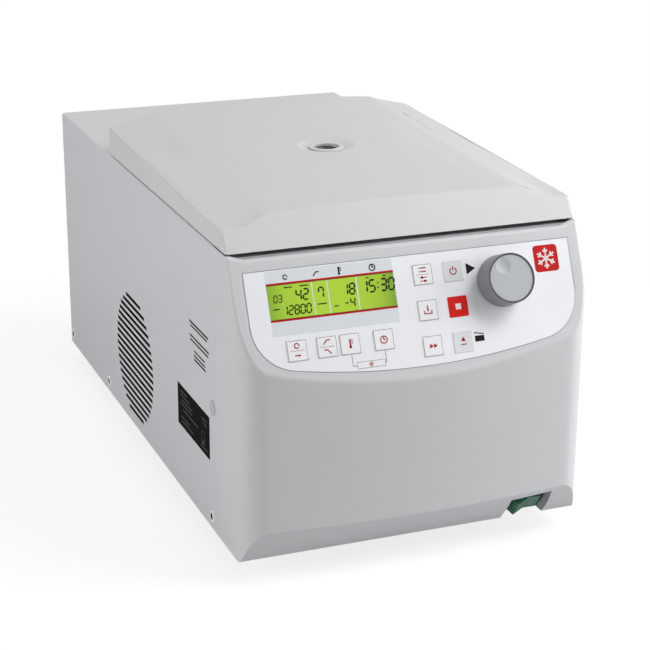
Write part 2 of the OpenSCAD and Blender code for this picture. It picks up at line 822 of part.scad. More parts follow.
// Solid inside the lid's outer faces, drawn in by t
module lid_form(t) {
    difference() {
        translate([0, lid_rear_y, lid_z])
            rotate([lid_slope, 0, 0])
                lid_skin(t);
        plan_box(-FAR, FAR, -FAR, FAR, lid_z - FAR, lid_z - (t > 0 ? EPS : 0));
        plan_box(-FAR, FAR, lid_rear_y - t, FAR, -FAR, FAR);
        translate([0, lid_front_y, lid_z])
            rotate([-lid_lean, 0, 0])
                plan_box(-FAR, FAR, -FAR, t, -FAR, FAR);
    }
}

// Chassis

module base_pan() {
    color("silver")
        difference() {
            union() {
                plan_box(-half_w + front_t + seat_gap, half_w - front_t - seat_gap,
                    base_front_y + seat_gap, cover_front_y, base_z, floor_z);
                plan_box(-inside_w, inside_w, cover_front_y - EPS, rear_panel_y - seat_gap,
                    base_z, floor_z);
                both_sides()
                    plan_box(inside_w - base_t, inside_w, cover_front_y, rear_panel_y - seat_gap,
                        base_z, base_z + base_flange_h);
                plan_box(-inside_w, inside_w, rear_panel_y - seat_gap - base_t, rear_panel_y - seat_gap,
                    base_z, base_z + base_flange_h);
            }
            screw_places()
                cylinder(h = 2 * cover_t + base_t + seat_gap, r = screw_r + run_gap);
        }
}

// Screw places on both sides: Z points into the housing
module screw_places() {
    for (y = [cover_front_y + screw_front, rear_y - screw_mid, rear_y - screw_rear])
        both_sides()
            translate([half_w, y, base_z + screw_up])
                rotate([0, -90, 0])
                    children();
}

module grille_slots() {
    for (i = [0:grille_count - 1]) {
        z = (i - (grille_count - 1) / 2) * grille_pitch;
        reach = sqrt(pow(grille_r, 2) - pow(z, 2));
        plan_box(-half_w - 1, -half_w + cover_t + EPS, fan_y - reach, fan_y + reach,
            fan_z + z - grille_slot / 2, fan_z + z + grille_slot / 2);
    }
}

module housing_cover() {
    color("gainsboro")
        difference() {
            union() {
                both_sides() {
                    plan_box(half_w - cover_t, half_w, cover_front_y, rear_y, base_z, deck_z);
                    plan_box(half_w - top_flange_w, half_w, cover_front_y, deck_front_y + EPS,
                        deck_z - cover_t, deck_z);
                }
                plan_box(-half_w, half_w, deck_front_y, rear_y, deck_z - cover_t, deck_z);
            }
            grille_slots();
            screw_places()
                translate([0, 0, -EPS])
                    cylinder(h = cover_t + 2 * EPS, r = screw_r + run_gap);
            x_cylinder(-half_w - 1, -half_w + cover_t + EPS, cover_front_y + plug_in,
                base_z + plug_up, plug_stem_r + run_gap);
            plan_box(-half_w - 1, -half_w + rating_t, cover_front_y + plate_in - seat_gap,
                cover_front_y + plate_in + plate_l + seat_gap, base_z + plate_up - seat_gap,
                base_z + plate_up + plate_h + seat_gap);
        }
}

module rear_panel() {
    color("gainsboro")
        difference() {
            plan_box(-inside_w, inside_w, rear_panel_y, rear_panel_y + rear_t,
                base_z, deck_z - cover_t - seat_gap);
            plan_box(-inlet_off - inlet_w / 2 - seat_gap, -inlet_off + inlet_w / 2 + seat_gap,
                rear_panel_y - 1, rear_panel_y + rear_t + 1,
                base_z + inlet_up - inlet_h / 2 - seat_gap, base_z + inlet_up + inlet_h / 2 + seat_gap);
            for (i = [0:vent_count - 1])
                translate([comp_x + (i - (vent_count - 1) / 2) * vent_pitch, rear_panel_y - 1,
                        comp_z + comp_h / 2])
                    rotate([-90, 0, 0])
                        linear_extrude(rear_t + 2)
                            rounded_rect(vent_w, vent_h, vent_w / 2 - EPS);
        }
}

module key_places() {
    for (p = [[program_u, run_row], [program_u, run_row + run_pitch], [program_u, run_row + 2 * run_pitch],
            [start_u, run_row], [start_u, run_row + run_pitch], [start_u, run_row + 2 * run_pitch],
            [speed_u, set_row], [ramp_u, set_row], [temperature_u, set_row], [time_u, set_row]])
        on_fascia(p[0], p[1])
            children();
}

module front_panel() {
    color("lightgray")
        difference() {
            union() {
                difference() {
                    front_form(0);
                    front_form(front_t);
                    translate([0, fascia_y + lid_front_gap * 2, 0])
                        rotate([90, 0, 0])
                            linear_extrude(fascia_setback + lid_front_gap * 2)
                                polygon([[-half_w + ear_w, front_top_z], [half_w - ear_w, front_top_z],
                                    [half_w - front_t, deck_z], [half_w - front_t, deck_z + 1],
                                    [-half_w + front_t, deck_z + 1], [-half_w + front_t, deck_z]]);
                }
                intersection() {
                    front_form(0);
                    union() {
                        plan_box(-half_w, half_w, low_front_y, base_front_y, base_z, base_z + base_t);
                        on_chamfer()
                            plan_box(-pocket_w / 2 - pocket_t, pocket_w / 2 + pocket_t,
                                -2 * pocket_d, pocket_l + pocket_t, -pocket_d - pocket_t, 0);
                    }
                }
                both_sides()
                    plan_box(inside_w - tongue_t, inside_w, seam_y - tongue_l, cover_front_y + tongue_l,
                        base_z + base_flange_h + seat_gap, frame_low_z - lock_h / 2);
                fascia_posts();
            }
            on_chamfer() {
                plan_box(-pocket_w / 2, pocket_w / 2, -3 * pocket_d, pocket_l, -pocket_d, FAR);
                translate([0, switch_row, -pocket_d - 2 * pocket_t])
                    linear_extrude(3 * pocket_t)
                        square([switch_w + 2 * seat_gap, switch_h + 2 * seat_gap], center = true);
            }
            on_fascia(0, 0)
                translate([0, 0, -foil_recess])
                    linear_extrude(FAR)
                        foil_outline(seat_gap);
            key_places()
                translate([0, 0, -2 * front_t])
                    linear_extrude(3 * front_t)
                        square([key_window_w, key_window_h], center = true);
            on_fascia(lcd_u, lcd_row)
                translate([0, 0, -2 * front_t])
                    linear_extrude(3 * front_t)
                        square([lcd_w - 2 * lcd_ledge, lcd_h - 2 * lcd_ledge], center = true);
            on_fascia(knob_u, knob_row)
                translate([0, 0, -2 * front_t])
                    cylinder(h = 3 * front_t, r = bush_r + seat_gap);
            x_cylinder(-half_w, -half_w + plug_l + 1, cover_front_y + plug_in, base_z + plug_up,
                plug_stem_r + seat_gap);
        }
}

// Posts behind the fascia that carry the control board
module fascia_posts() {
    mid_u = program_u - (key_w + key_flange_side) / 2 - post_r - key_gap;
    for (u = [-board_w / 2 + 2 * post_r, mid_u, board_w / 2 - 2 * post_r])
        on_fascia(u, board_row - board_h / 2 + post_r)
            translate([0, 0, -board_d])
                cylinder(h = board_d - front_t + EPS, r = post_r);
}

module top_frame() {
    color("gainsboro")
        difference() {
            plan_box(-inside_w, inside_w, cover_front_y + EPS, frame_rear_y, frame_low_z, frame_top_z);
            translate([0, chamber_y, frame_low_z - 1])
                cylinder(h = frame_t + 2, r = bowl_out_r + seat_gap);
            hook_slot();
        }
    color("gainsboro")
        difference() {
            plan_box(-half_w + front_t + seat_gap, half_w - front_t - seat_gap,
                frame_front_y, cover_front_y + 2 * EPS, frame_low_z, frame_top_z);
            hook_slot();
        }
}

module hook_slot() {
    plan_box(-hook_t / 2 - hook_room, hook_t / 2 + hook_room, hook_y - hook_d / 2 - hook_room,
        hook_y + hook_d / 2 + hook_room, frame_low_z - 1, frame_top_z + 1);
}

// Chamber

module chamber_bowl() {
    color("silver")
        translate([0, chamber_y, 0])
            rotate_extrude()
                polygon(concat(
                    [[bowl_hole_r, bowl_floor_z]],
                    arc_points(bowl_r - bowl_corner_r, bowl_floor_z + bowl_corner_r, bowl_corner_r,
                        -90, 0, ARC_STEPS),
                    [[bowl_r, frame_top_z + bowl_t], [bowl_out_r + rim_w, frame_top_z + bowl_t],
                        [bowl_out_r + rim_w, frame_top_z], [bowl_out_r, frame_top_z]],
                    arc_points(bowl_r - bowl_corner_r, bowl_floor_z + bowl_corner_r, bowl_corner_r + bowl_t,
                        0, -90, ARC_STEPS),
                    [[bowl_hole_r, bowl_floor_z - bowl_t]]));
}

module evaporator_jacket() {
    color("peru")
        ring(jacket_r, jacket_r + jacket_t, frame_low_z - seat_gap - jacket_h, frame_low_z - seat_gap);
}

module bowl_insulation() {
    color("dimgray")
        difference() {
            ring(bowl_hole_r + boot_wall, foam_r + foam_t, foam_low_z, frame_low_z - seat_gap);
            translate([0, chamber_y, foam_low_z + foam_floor_t])
                cylinder(h = FAR, r = foam_r);
        }
}

module bowl_gasket() {
    color("dimgray")
        translate([0, chamber_y, 0])
            rotate_extrude()
                polygon([[bowl_r + bowl_t, gasket_z], [bowl_out_r + rim_w - bowl_t, gasket_z],
                    [bowl_out_r + rim_w - 2 * bowl_t, lid_z - gasket_gap],
                    [bowl_r + 2 * bowl_t, lid_z - gasket_gap]]);
}

module bowl_boot() {
    sleeve_r = neck_r + seat_gap;
    color("dimgray")
        translate([0, chamber_y, 0])
            rotate_extrude()
                polygon([[sleeve_r, bowl_floor_z - boot_l], [sleeve_r + boot_wall, bowl_floor_z - boot_l],
                    [sleeve_r + boot_wall, bowl_floor_z + seat_gap],
                    [bowl_hole_r + rim_w, bowl_floor_z + seat_gap],
                    [bowl_hole_r + rim_w, bowl_floor_z + boot_t], [sleeve_r, bowl_floor_z + boot_t]]);
}

// Drive

module motor_housing() {
    color("darkgray")
        difference() {
            union() {
                ring(0, motor_r, motor_z, motor_z + motor_h);
                ring(0, neck_r, motor_z, neck_z);
            }
            ring(0, shaft_r + rotor_gap / 2, shaft_low_z - bearing_h / 2, neck_z + 1);
            for (z = [shaft_low_z, neck_z - bearing_h])
                ring(0, bearing_r, z, z + bearing_h + EPS);
        }
}

module shaft_bearings() {
    color("slategray")
        for (z = [shaft_low_z, neck_z - bearing_h])
            ring(shaft_r + run_gap, bearing_r, z, z + bearing_h);
}

module motor_plate() {
    color("darkgray")
        ring(shaft_r, plate_r, plate_z, motor_z);
}

module motor_dampers() {
    color("dimgray")
        for (i = [0:damper_count - 1])
            translate([0, chamber_y, floor_z])
                rotate([0, 0, 360 * i / damper_count + 90])
                    translate([damper_off, 0, 0])
                        cylinder(h = damper_h, r = damper_r);
}

module drive_shaft() {
    color("silver") {
        ring(0, shaft_r, shaft_low_z, shaft_top_z);
        ring(0, tip_r, shaft_top_z - EPS, tip_z);
    }
}

// Rotor

module rotor_body() {
    color("silver")
        translate([0, chamber_y, 0])
            rotate_extrude()
                polygon([[shaft_r + run_gap / 2, rotor_z], [hub_r, rotor_z],
                    [rotor_r - rotor_lid_h, rotor_top_z - rotor_band],
                    [rotor_r, rotor_top_z - rotor_band + rotor_lid_h],
                    [rotor_r, rotor_top_z], [tip_r + run_gap, rotor_top_z],
                    [tip_r + run_gap, shaft_top_z + run_gap],
                    [shaft_r + run_gap / 2, shaft_top_z + run_gap]]);
}

module rotor_lid() {
    low = rotor_top_z + seat_gap;
    color("lightsteelblue")
        translate([0, chamber_y, 0])
            rotate_extrude()
                polygon([[tip_r + run_gap, low], [rotor_r, low], [rotor_r, low + rotor_lid_h / 3],
                    [rotor_r - rotor_lid_h, low + rotor_lid_h], [tip_r + run_gap, low + rotor_lid_h]]);
}

module rotor_nut() {
    color("gray")
        difference() {
            ring(tip_r + run_gap, nut_r, nut_z, nut_z + nut_h);
            for (i = [0:nut_flutes - 1])
                translate([0, chamber_y, nut_z + nut_h / 4])
                    rotate([0, 0, 360 * i / nut_flutes])
                        translate([nut_r, 0, 0])
                            cylinder(h = nut_h, r = flute_r);
        }
}

// Lid

module lid_shell() {
    color("whitesmoke")
        difference() {
            union() {
                difference() {
                    lid_form(0);
                    lid_form(lid_t);
                }
                intersection() {
                    lid_form(0);
                    ring(0, dish_r + dish_wall, lid_top_z - dish_d - dish_wall, FAR);
                }
            }
            translate([0, chamber_y, lid_top_z - dish_d + dish_ball_r])
                sphere(r = dish_ball_r, $fn = 128);
            ring(0, tube_r + run_gap, lid_z, FAR);
            translate([0, lid_rear_y, lid_z])
                rotate([45, 0, 0])
                    cube([FAR, lid_rear_cut * sqrt(2), lid_rear_cut * sqrt(2)], center = true);
        }
}

module lid_liner() {
    front = lid_front_y + lid_t / cos(lid_lean) + (liner_t + seat_gap) * tan(lid_lean) + seat_gap;
    color("gainsboro")
        difference() {
            plan_box(-half_w + lid_t + seat_gap, half_w - lid_t - seat_gap, front,
                hinge_y - leg_in - leg_d - neck_h - seat_gap, lid_z, lid_z + liner_t);
            ring(0, window_r - window_ledge, lid_z - 1, lid_z + liner_t + 1);
        }
}

module window_bezel() {
    low = lid_z + liner_t + seat_gap;
    lip_z = lid_top_z - dish_d + dish_ball_r + seat_gap
        - sqrt(pow(dish_ball_r, 2) - pow(tube_r + tube_t, 2));
    color("whitesmoke")
        translate([0, chamber_y, 0])
            rotate_extrude()
                polygon([[window_r - window_ledge, low], [tube_r, low], [tube_r, lip_z],
                    [tube_r + tube_t, lip_z], [tube_r + tube_t, window_z + window_t],
                    [window_r + run_gap, window_z + window_t], [window_r + run_gap, window_z],
                    [window_r - window_ledge, window_z]]);
}

module lid_window() {
    color("lightcyan", 0.5)
        ring(0, window_r, window_z, window_z + window_t);
}

module latch_hook() {
    color("silver")
        difference() {
            union() {
                plan_box(-hook_plate_w, hook_plate_w, hook_y - hook_d / 2, hook_y + hook_d / 2,
                    lid_z - hook_plate_t, lid_z);
                plan_box(-hook_t / 2, hook_t / 2, hook_y - hook_d / 2, hook_y + hook_d / 2,
                    lid_z - hook_l, lid_z);
            }
            x_cylinder(-hook_t, hook_t, hook_y, bolt_z, bolt_r + bolt_eye_gap);
        }
}

module hinge_brackets() {
    x0 = hinge_x - hinge_ear_w / 2;
    x1 = hinge_x + hinge_ear_w / 2;
    leg_front = hinge_y - leg_in - leg_d;
    leg_rear = hinge_y - leg_in;
    color("slategray")
        both_sides()
            difference() {
                union() {
                    x_cylinder(x0, x1, hinge_y, hinge_z, hinge_eye_r);
                    plan_box(x0, x1, leg_front, hinge_y, hinge_z - neck_h, hinge_z + neck_h);
                    plan_box(x0, x1, leg_front, leg_rear, frame_top_z, hinge_z + neck_h);
                    plan_box(hinge_x - hinge_foot_w, hinge_x + hinge_foot_w, leg_front - neck_h,
                        leg_rear + neck_h, frame_top_z, frame_top_z + hinge_foot_t);
                }
                x_cylinder(x0 - 1, x1 + 1, hinge_y, hinge_z, hinge_pin_r + run_gap / 2);
            }
}

module hinge_pins() {
    color("silver")
        both_sides()
            x_cylinder(hinge_x - hinge_span, hinge_x + hinge_span, hinge_y, hinge_z, hinge_pin_r);
}

module hinge_arms() {
    color("slategray")
        both_sides()
            for (x = [hinge_x - hinge_span, hinge_x + hinge_span - hinge_arm_t])
                difference() {
                    intersection() {
                        union() {
                            x_cylinder(x, x + hinge_arm_t, hinge_y, hinge_z, hinge_eye_r);
                            plan_box(x, x + hinge_arm_t, hinge_y - hinge_arm_l, hinge_y,
                                hinge_z - neck_h, FAR);
                        }
                        lid_form(lid_t + seat_gap);
                    }
                    x_cylinder(x - 1, x + hinge_arm_t + 1, hinge_y, hinge_z, hinge_pin_r + run_gap);
                }
}

module lid_buffers() {
    color("dimgray")
        both_sides()
            for (y = [hook_y, hinge_y - hinge_arm_l])
                translate([half_w - top_flange_w - 2 * buffer_r, y, frame_top_z])
                    cylinder(h = lid_z - gasket_gap - frame_top_z, r = buffer_r);
}

module lid_lock() {
    y0 = hook_y - hook_d / 2 - hook_room;
    y1 = hook_y + hook_d / 2 + hook_room;
    inner = hook_t / 2 + hook_room;
    color("dimgray")
        difference() {
            plan_box(-inner - lock_t - bolt_travel, inner + lock_l, y0 - lock_t, y1 + lock_t,
                frame_low_z - lock_h, frame_low_z);
            plan_box(-inner, inner, y0, y1, frame_low_z - lock_h + lock_t, frame_low_z + 1);
            x_cylinder(-inner - bolt_travel, inner + lock_l + 1, hook_y, bolt_z, bolt_r + run_gap);
        }
}

module lock_bolt() {
    color("silver")
        x_cylinder(hook_t / 2 + bolt_gap, hook_t / 2 + hook_room + lock_l, hook_y, bolt_z, bolt_r);
}

// Cooling

module compressor() {
    color("dimgray") {
        translate([comp_x, comp_y, comp_z])
            cylinder(h = comp_h, r = comp_r);
        translate([comp_x, comp_y, comp_z + comp_h - EPS])
            cylinder(h = comp_r / 4, r1 = comp_r, r2 = comp_r / 2);
        plan_box(comp_x - comp_r, comp_x + comp_r, comp_y - comp_r, comp_y + comp_r,
            comp_z - comp_foot_t, comp_z + EPS);
        for (sx = [-1, 1], sy = [-1, 1])
            translate([comp_x + sx * (comp_r - grommet_r), comp_y + sy * (comp_r - grommet_r), floor_z])
                cylinder(h = grommet_h + EPS, r = grommet_r);
    }
}

module condenser() {
    pitch = (condenser_l - fin_t) / (fin_count - 1);
    color("darkgray") {
        for (i = [0:fin_count - 1])
            plan_box(condenser_x, condenser_x + condenser_t, condenser_y + i * pitch,
                condenser_y + i * pitch + fin_t, floor_z, floor_z + condenser_h);
        for (i = [0:tube_count - 1], x = [condenser_t / 4, condenser_t * 3 / 4])
            translate([condenser_x + x, condenser_y, floor_z + condenser_h * (i + 0.5) / tube_count])
                rotate([-90, 0, 0])
                    cylinder(h = condenser_l, r = pipe_r);
    }
}

module fan_frame() {
    color("dimgray") {
        difference() {
            x_cylinder(fan_x, fan_x + fan_d, fan_y, fan_z, fan_r);
            x_cylinder(fan_x - 1, fan_x + fan_d + 1, fan_y, fan_z, fan_r - fan_wall);
        }
        for (i = [0:spoke_count - 1])
            translate([fan_x + fan_d - spoke_d, fan_y, fan_z])
                rotate([360 * i / spoke_count + 45, 0, 0])
                    plan_box(EPS, spoke_d - EPS, 0, fan_r - fan_wall / 2, -spoke_w / 2, spoke_w / 2);
        x_cylinder(fan_x + fan_d - spoke_d, fan_x + fan_d, fan_y, fan_z, fan_hub_r);
        x_cylinder(fan_x + spoke_d, fan_x + fan_d - EPS, fan_y, fan_z, axle_r);
    }
}

module fan_impeller() {
    x0 = fan_x + spoke_d / 2;
    x1 = fan_x + fan_d - spoke_d - 2 * seat_gap;
    color("black") {
        difference() {
            x_cylinder(x0, x1, fan_y, fan_z, fan_hub_r);
            x_cylinder(fan_x + spoke_d - 2 * seat_gap, fan_x + fan_d, fan_y, fan_z, axle_r + run_gap);
        }
        intersection() {
            x_cylinder(x0, x1, fan_y, fan_z, blade_r);
            for (i = [0:blade_count - 1])
                translate([fan_x + (fan_d - spoke_d) / 2, fan_y, fan_z])
                    rotate([360 * i / blade_count, 0, 0])
                        translate([0, 0, fan_hub_r - blade_t])
                            rotate([0, 0, blade_angle])
                                plan_box(-blade_c / 2, blade_c / 2, -blade_t / 2, blade_t / 2, 0, FAR);
        }
    }
}

// One straight length of pipe with a ball at its far end
module pipe_run(a, b) {
    d = b - a;
    l = norm(d);
    translate(a)
        rotate([0, acos(d[2] / l), atan2(d[1], d[0])])
            cylinder(h = l, r = pipe_r);
    translate(b)
        sphere(r = pipe_r, $fn = 32);
}

module pipe_route(points) {
    for (i = [0:len(points) - 3])
        pipe_run(points[i], points[i + 1]);
    a = points[len(points) - 2];
    d = points[len(points) - 1] - a;
    translate(a)
        rotate([0, acos(d[2] / norm(d)), atan2(d[1], d[0])])
            cylinder(h = norm(d), r = pipe_r);
}

module refrigerant_pipes() {
    mid_x = condenser_x + condenser_t / 2;
    rear_face = condenser_y + condenser_l + seat_gap;
    left_can = comp_x - comp_r - seat_gap;
    drier_x = (left_can + condenser_x + condenser_t) / 2;
    high = comp_z + comp_h - 4 * pipe_r;
    low = floor_z + condenser_h / 4;
    foam_rear = chamber_y + foam_r + foam_t + seat_gap;
    foam_side = chamber_y + sqrt(pow(foam_r + foam_t + seat_gap, 2) - pow(abs(drier_x) - pipe_r, 2));
    suction_z = bowl_floor_z + bowl_d / 3;
    color("peru") {
        pipe_route([[left_can, comp_y, high], [mid_x, comp_y, high], [mid_x, comp_y, low + 6 * pipe_r],
            [mid_x, rear_face, low + 6 * pipe_r]]);
        pipe_route([[mid_x, rear_face, low], [mid_x, comp_y - 6 * pipe_r, low],
            [drier_x, comp_y - 6 * pipe_r, low], [drier_x, comp_y - 6 * pipe_r, suction_z + 6 * pipe_r],
            [drier_x, foam_side, suction_z + 6 * pipe_r]]);
        translate([drier_x, comp_y - 6 * pipe_r, low + 3 * pipe_r])
            cylinder(h = drier_l, r = drier_r);
        pipe_route([[0, foam_rear, suction_z], [0, comp_y, suction_z], [left_can, comp_y, suction_z]]);
    }
}

// Electrics

module power_board() {
    x = inside_w - power_in;
    y = cover_front_y + power_in;
    color("seagreen")
        plan_box(x, x + board_t, y, y + power_l, floor_z, floor_z + power_h);
    color("dimgray") {
        plan_box(x - block_h, x + EPS, y + power_l / 12, y + power_l / 3,
            floor_z + power_h / 4, floor_z + power_h * 3 / 4);
        plan_box(x - block_h / 2, x + EPS, y + power_l / 2, y + power_l * 3 / 4,
            floor_z + power_h / 3, floor_z + power_h * 3 / 4);
    }
}

module control_board() {
    color("seagreen")
        on_fascia(0, board_row)
            plan_box(-board_w / 2, board_w / 2, -board_h / 2, board_h / 2, -board_d - board_t, -board_d);
    color("dimgray")
        key_places()
            translate([0, 0, -board_d - EPS])
                cylinder(h = board_d - plunger_d - key_travel - dome_gap, r = dome_r);
}

module lcd_module() {
    color("darkolivegreen")
        on_fascia(lcd_u, lcd_row)
            plan_box(-lcd_w / 2 - lcd_border, lcd_w / 2 + lcd_border, -lcd_h / 2 - lcd_border,
                lcd_h / 2 + lcd_border, -board_d + seat_gap, -front_t - seat_gap);
}

module display_window() {
    color("yellowgreen", 0.6)
        on_fascia(lcd_u, lcd_row)
            translate([0, 0, -foil_recess])
                linear_extrude(foil_t)
                    square([lcd_w - 2 * seat_gap, lcd_h - 2 * seat_gap], center = true);
}

module panel_foil() {
    color("white")
        difference() {
            on_fascia(0, 0)
                translate([0, 0, -foil_recess])
                    linear_extrude(foil_t)
                        foil_outline(0);
            key_places()
                translate([0, 0, -1])
                    linear_extrude(2)
                        square([key_window_w, key_window_h], center = true);
            on_fascia(lcd_u, lcd_row)
                translate([0, 0, -1])
                    linear_extrude(2)
                        square([lcd_w, lcd_h], center = true);
            on_fascia(knob_u, knob_row)
                translate([0, 0, -1])
                    cylinder(h = 2, r = bush_r + seat_gap);
        }
}

module knob_encoder() {
    color("slategray")
        on_fascia(knob_u, knob_row)
            difference() {
                union() {
                    plan_box(-encoder_w / 2, encoder_w / 2, -encoder_w / 2, encoder_w / 2,
                        -board_d + seat_gap, -front_t - seat_gap);
                    translate([0, 0, -front_t - seat_gap - EPS])
                        cylinder(h = front_t + seat_gap + bush_l, r = bush_r);
                }
                translate([0, 0, -board_d + front_t])
                    cylinder(h = FAR, r = spindle_r + run_gap);
            }
}

module encoder_spindle() {
    color("silver")
        on_fascia(knob_u, knob_row)
            translate([0, 0, -board_d + front_t + seat_gap])
                cylinder(h = board_d - front_t + knob_l * 3 / 4, r = spindle_r);
}

module control_knob() {
    low = foil_t - foil_recess + knob_gap;
    top = low + knob_l;
    color("gray")
        on_fascia(knob_u, knob_row)
            difference() {
                rotate_extrude()
                    polygon([[knob_r - knob_t, low], [knob_r, low], [knob_face_r, top],
                        [knob_face_r - knob_step, top], [knob_face_r - knob_step, top - knob_face_sink],
                        [0, top - knob_face_sink], [0, knob_l * 3 / 4 + 2 * seat_gap],
                        [spindle_r + run_gap / 2, knob_l * 3 / 4 + 2 * seat_gap],
                        [spindle_r + run_gap / 2, low + bush_l],
                        [spindle_r + knob_t, low + bush_l], [spindle_r + knob_t, top - 2 * knob_t],
                        [knob_face_r - knob_t, top - 2 * knob_t]]);
                rotate([0, 0, dimple_angle])
                    translate([dimple_off, 0, top - knob_face_sink - dimple_sink + dimple_ball_r])
                        sphere(r = dimple_ball_r);
            }
}

module key(u, row) {
    on_fascia(u, row) {
        translate([0, 0, -front_t - 2 * key_gap])
            linear_extrude(front_t + 2 * key_gap + foil_t - foil_recess + key_proud)
                rounded_rect(key_w, key_h, key_r);
        translate([0, 0, -front_t - key_gap - key_flange_t])
            linear_extrude(key_flange_t)
                square([key_w + key_flange_side, key_h + key_flange_extra], center = true);
        translate([0, 0, -plunger_d])
            cylinder(h = plunger_d - front_t, r = plunger_r);
    }
}

module program_key() { color("white") key(program_u, run_row); }
module store_key() { color("white") key(program_u, run_row + run_pitch); }
module quick_spin_key() { color("white") key(program_u, run_row + 2 * run_pitch); }
module speed_key() { color("white") key(speed_u, set_row); }
module ramp_key() { color("white") key(ramp_u, set_row); }
module temperature_key() { color("white") key(temperature_u, set_row); }
module time_key() { color("white") key(time_u, set_row); }
module start_key() { color("lightgray") key(start_u, run_row); }
module stop_key() { color("red") key(start_u, run_row + run_pitch); }
module lid_open_key() { color("lightgray") key(start_u, run_row + 2 * run_pitch); }

// Power switch, drawn on the chamfer

module switch_housing() {
    color("black")
        on_chamfer()
            translate([0, switch_row, -pocket_d])
                difference() {
                    union() {
                        plan_box(-bezel_w / 2, bezel_w / 2, -bezel_h / 2, bezel_h / 2, 0, bezel_t);
                        plan_box(-switch_w / 2, switch_w / 2, -switch_h / 2, switch_h / 2, -switch_d, EPS);
                    }
                    plan_box(-rocker_r - rocker_gap, rocker_r + rocker_gap, -rocker_h / 2 - rocker_gap,
                        rocker_h / 2 + rocker_gap, -rocker_r, FAR);
                }
    color("black")
        on_chamfer()
            translate([0, switch_row - switch_h / 2, rocker_axis_n])
                rotate([-90, 0, 0])
                    cylinder(h = switch_h, r = pivot_r);
}

module power_rocker() {
    color("seagreen")
        on_chamfer()
            translate([0, switch_row, rocker_axis_n])
                rotate([0, rocker_tilt, 0])
                    difference() {
                        intersection() {
                            translate([0, rocker_h / 2, 0])
                                rotate([90, 0, 0])
                                    cylinder(h = rocker_h, r = rocker_r);
                            union() {
                                for (s = [0, 1])
                                    mirror([s, 0, 0])
                                        translate([0, 0, rocker_mid])
                                            rotate([0, -rocker_slope, 0])
                                                plan_box(-rocker_gap, 2 * rocker_r, -rocker_h, rocker_h,
                                                    -2 * rocker_r, 0);
                            }
                            plan_box(-FAR, FAR, -FAR, FAR, -rocker_low, FAR);
                        }
                        translate([0, -rocker_h, 0])
                            rotate([-90, 0, 0])
                                cylinder(h = 2 * rocker_h, r = pivot_r + run_gap);
                    }
}

// Fittings

module mains_inlet() {
    w = inlet_w / 2;
    h = inlet_h / 2;
    back = rear_t - inlet_d;
    color("black")
        translate([-inlet_off, rear_panel_y, base_z + inlet_up]) {
            difference() {
                union() {
                    plan_box(-inlet_flange_w / 2, inlet_flange_w / 2, rear_t, rear_t + inlet_flange_t,
                        -inlet_flange_h / 2, inlet_flange_h / 2);
                    plan_box(-w, w, back, rear_t + EPS, -h, h);
                }
                plan_box(-w + inlet_wall, w - inlet_wall, back + 2 * inlet_wall, FAR,
                    -h + inlet_wall, h - inlet_wall);
            }
            for (p = [[-w / 2, 0], [0, blade_h / 2], [w / 2, 0]])
                plan_box(p[0] - blade_w / 2, p[0] + blade_w / 2, back + inlet_wall, rear_t - inlet_wall,
                    p[1] - blade_h / 2, p[1] + blade_h / 2);
        }
}

module feet() {
    color("dimgray")
        both_sides()
            for (y = [front_y + foot_front, rear_y - foot_rear])
                translate([half_w - foot_side, y, 0])
                    cylinder(h = foot_h, r1 = foot_tip_r, r2 = foot_r);
}

module cover_screws() {
    color("silver")
        screw_places() {
            translate([0, 0, -screw_proud])
                cylinder(h = screw_proud, r = screw_head_r);
            translate([0, 0, -EPS])
                cylinder(h = cover_t + base_t + seat_gap + EPS, r = screw_r);
        }
}

module release_plug() {
    y = cover_front_y + plug_in;
    z = base_z + plug_up;
    color("gray") {
        x_cylinder(-half_w - screw_proud, -half_w, y, z, plug_r);
        x_cylinder(-half_w - EPS, -half_w + plug_l, y, z, plug_stem_r);
    }
}

module rating_plate() {
    y = cover_front_y + plate_in;
    color("black")
        plan_box(-half_w, -half_w + rating_t, y, y + plate_l,
            base_z + plate_up, base_z + plate_up + plate_h);
}

base_pan();
housing_cover();
rear_panel();
front_panel();
top_frame();
chamber_bowl();
evaporator_jacket();
bowl_insulation();
bowl_gasket();
bowl_boot();
motor_housing();
motor_plate();
motor_dampers();
shaft_bearings();
drive_shaft();
rotor_body();
rotor_lid();
rotor_nut();
lid_shell();
lid_liner();
lid_window();
window_bezel();
latch_hook();
hinge_brackets();
hinge_pins();
hinge_arms();
lid_buffers();
lid_lock();
lock_bolt();
compressor();
condenser();
fan_frame();
fan_impeller();
refrigerant_pipes();
power_board();
control_board();
lcd_module();
display_window();
panel_foil();
knob_encoder();
encoder_spindle();
control_knob();
program_key();
store_key();
quick_spin_key();
speed_key();
ramp_key();
temperature_key();
time_key();
start_key();
stop_key();
lid_open_key();
switch_housing();
power_rocker();
mains_inlet();
feet();
cover_screws();
release_plug();
rating_plate();
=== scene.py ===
import json
import math

import bmesh
import bpy
from mathutils import Matrix, Vector
from mathutils.bvhtree import BVHTree


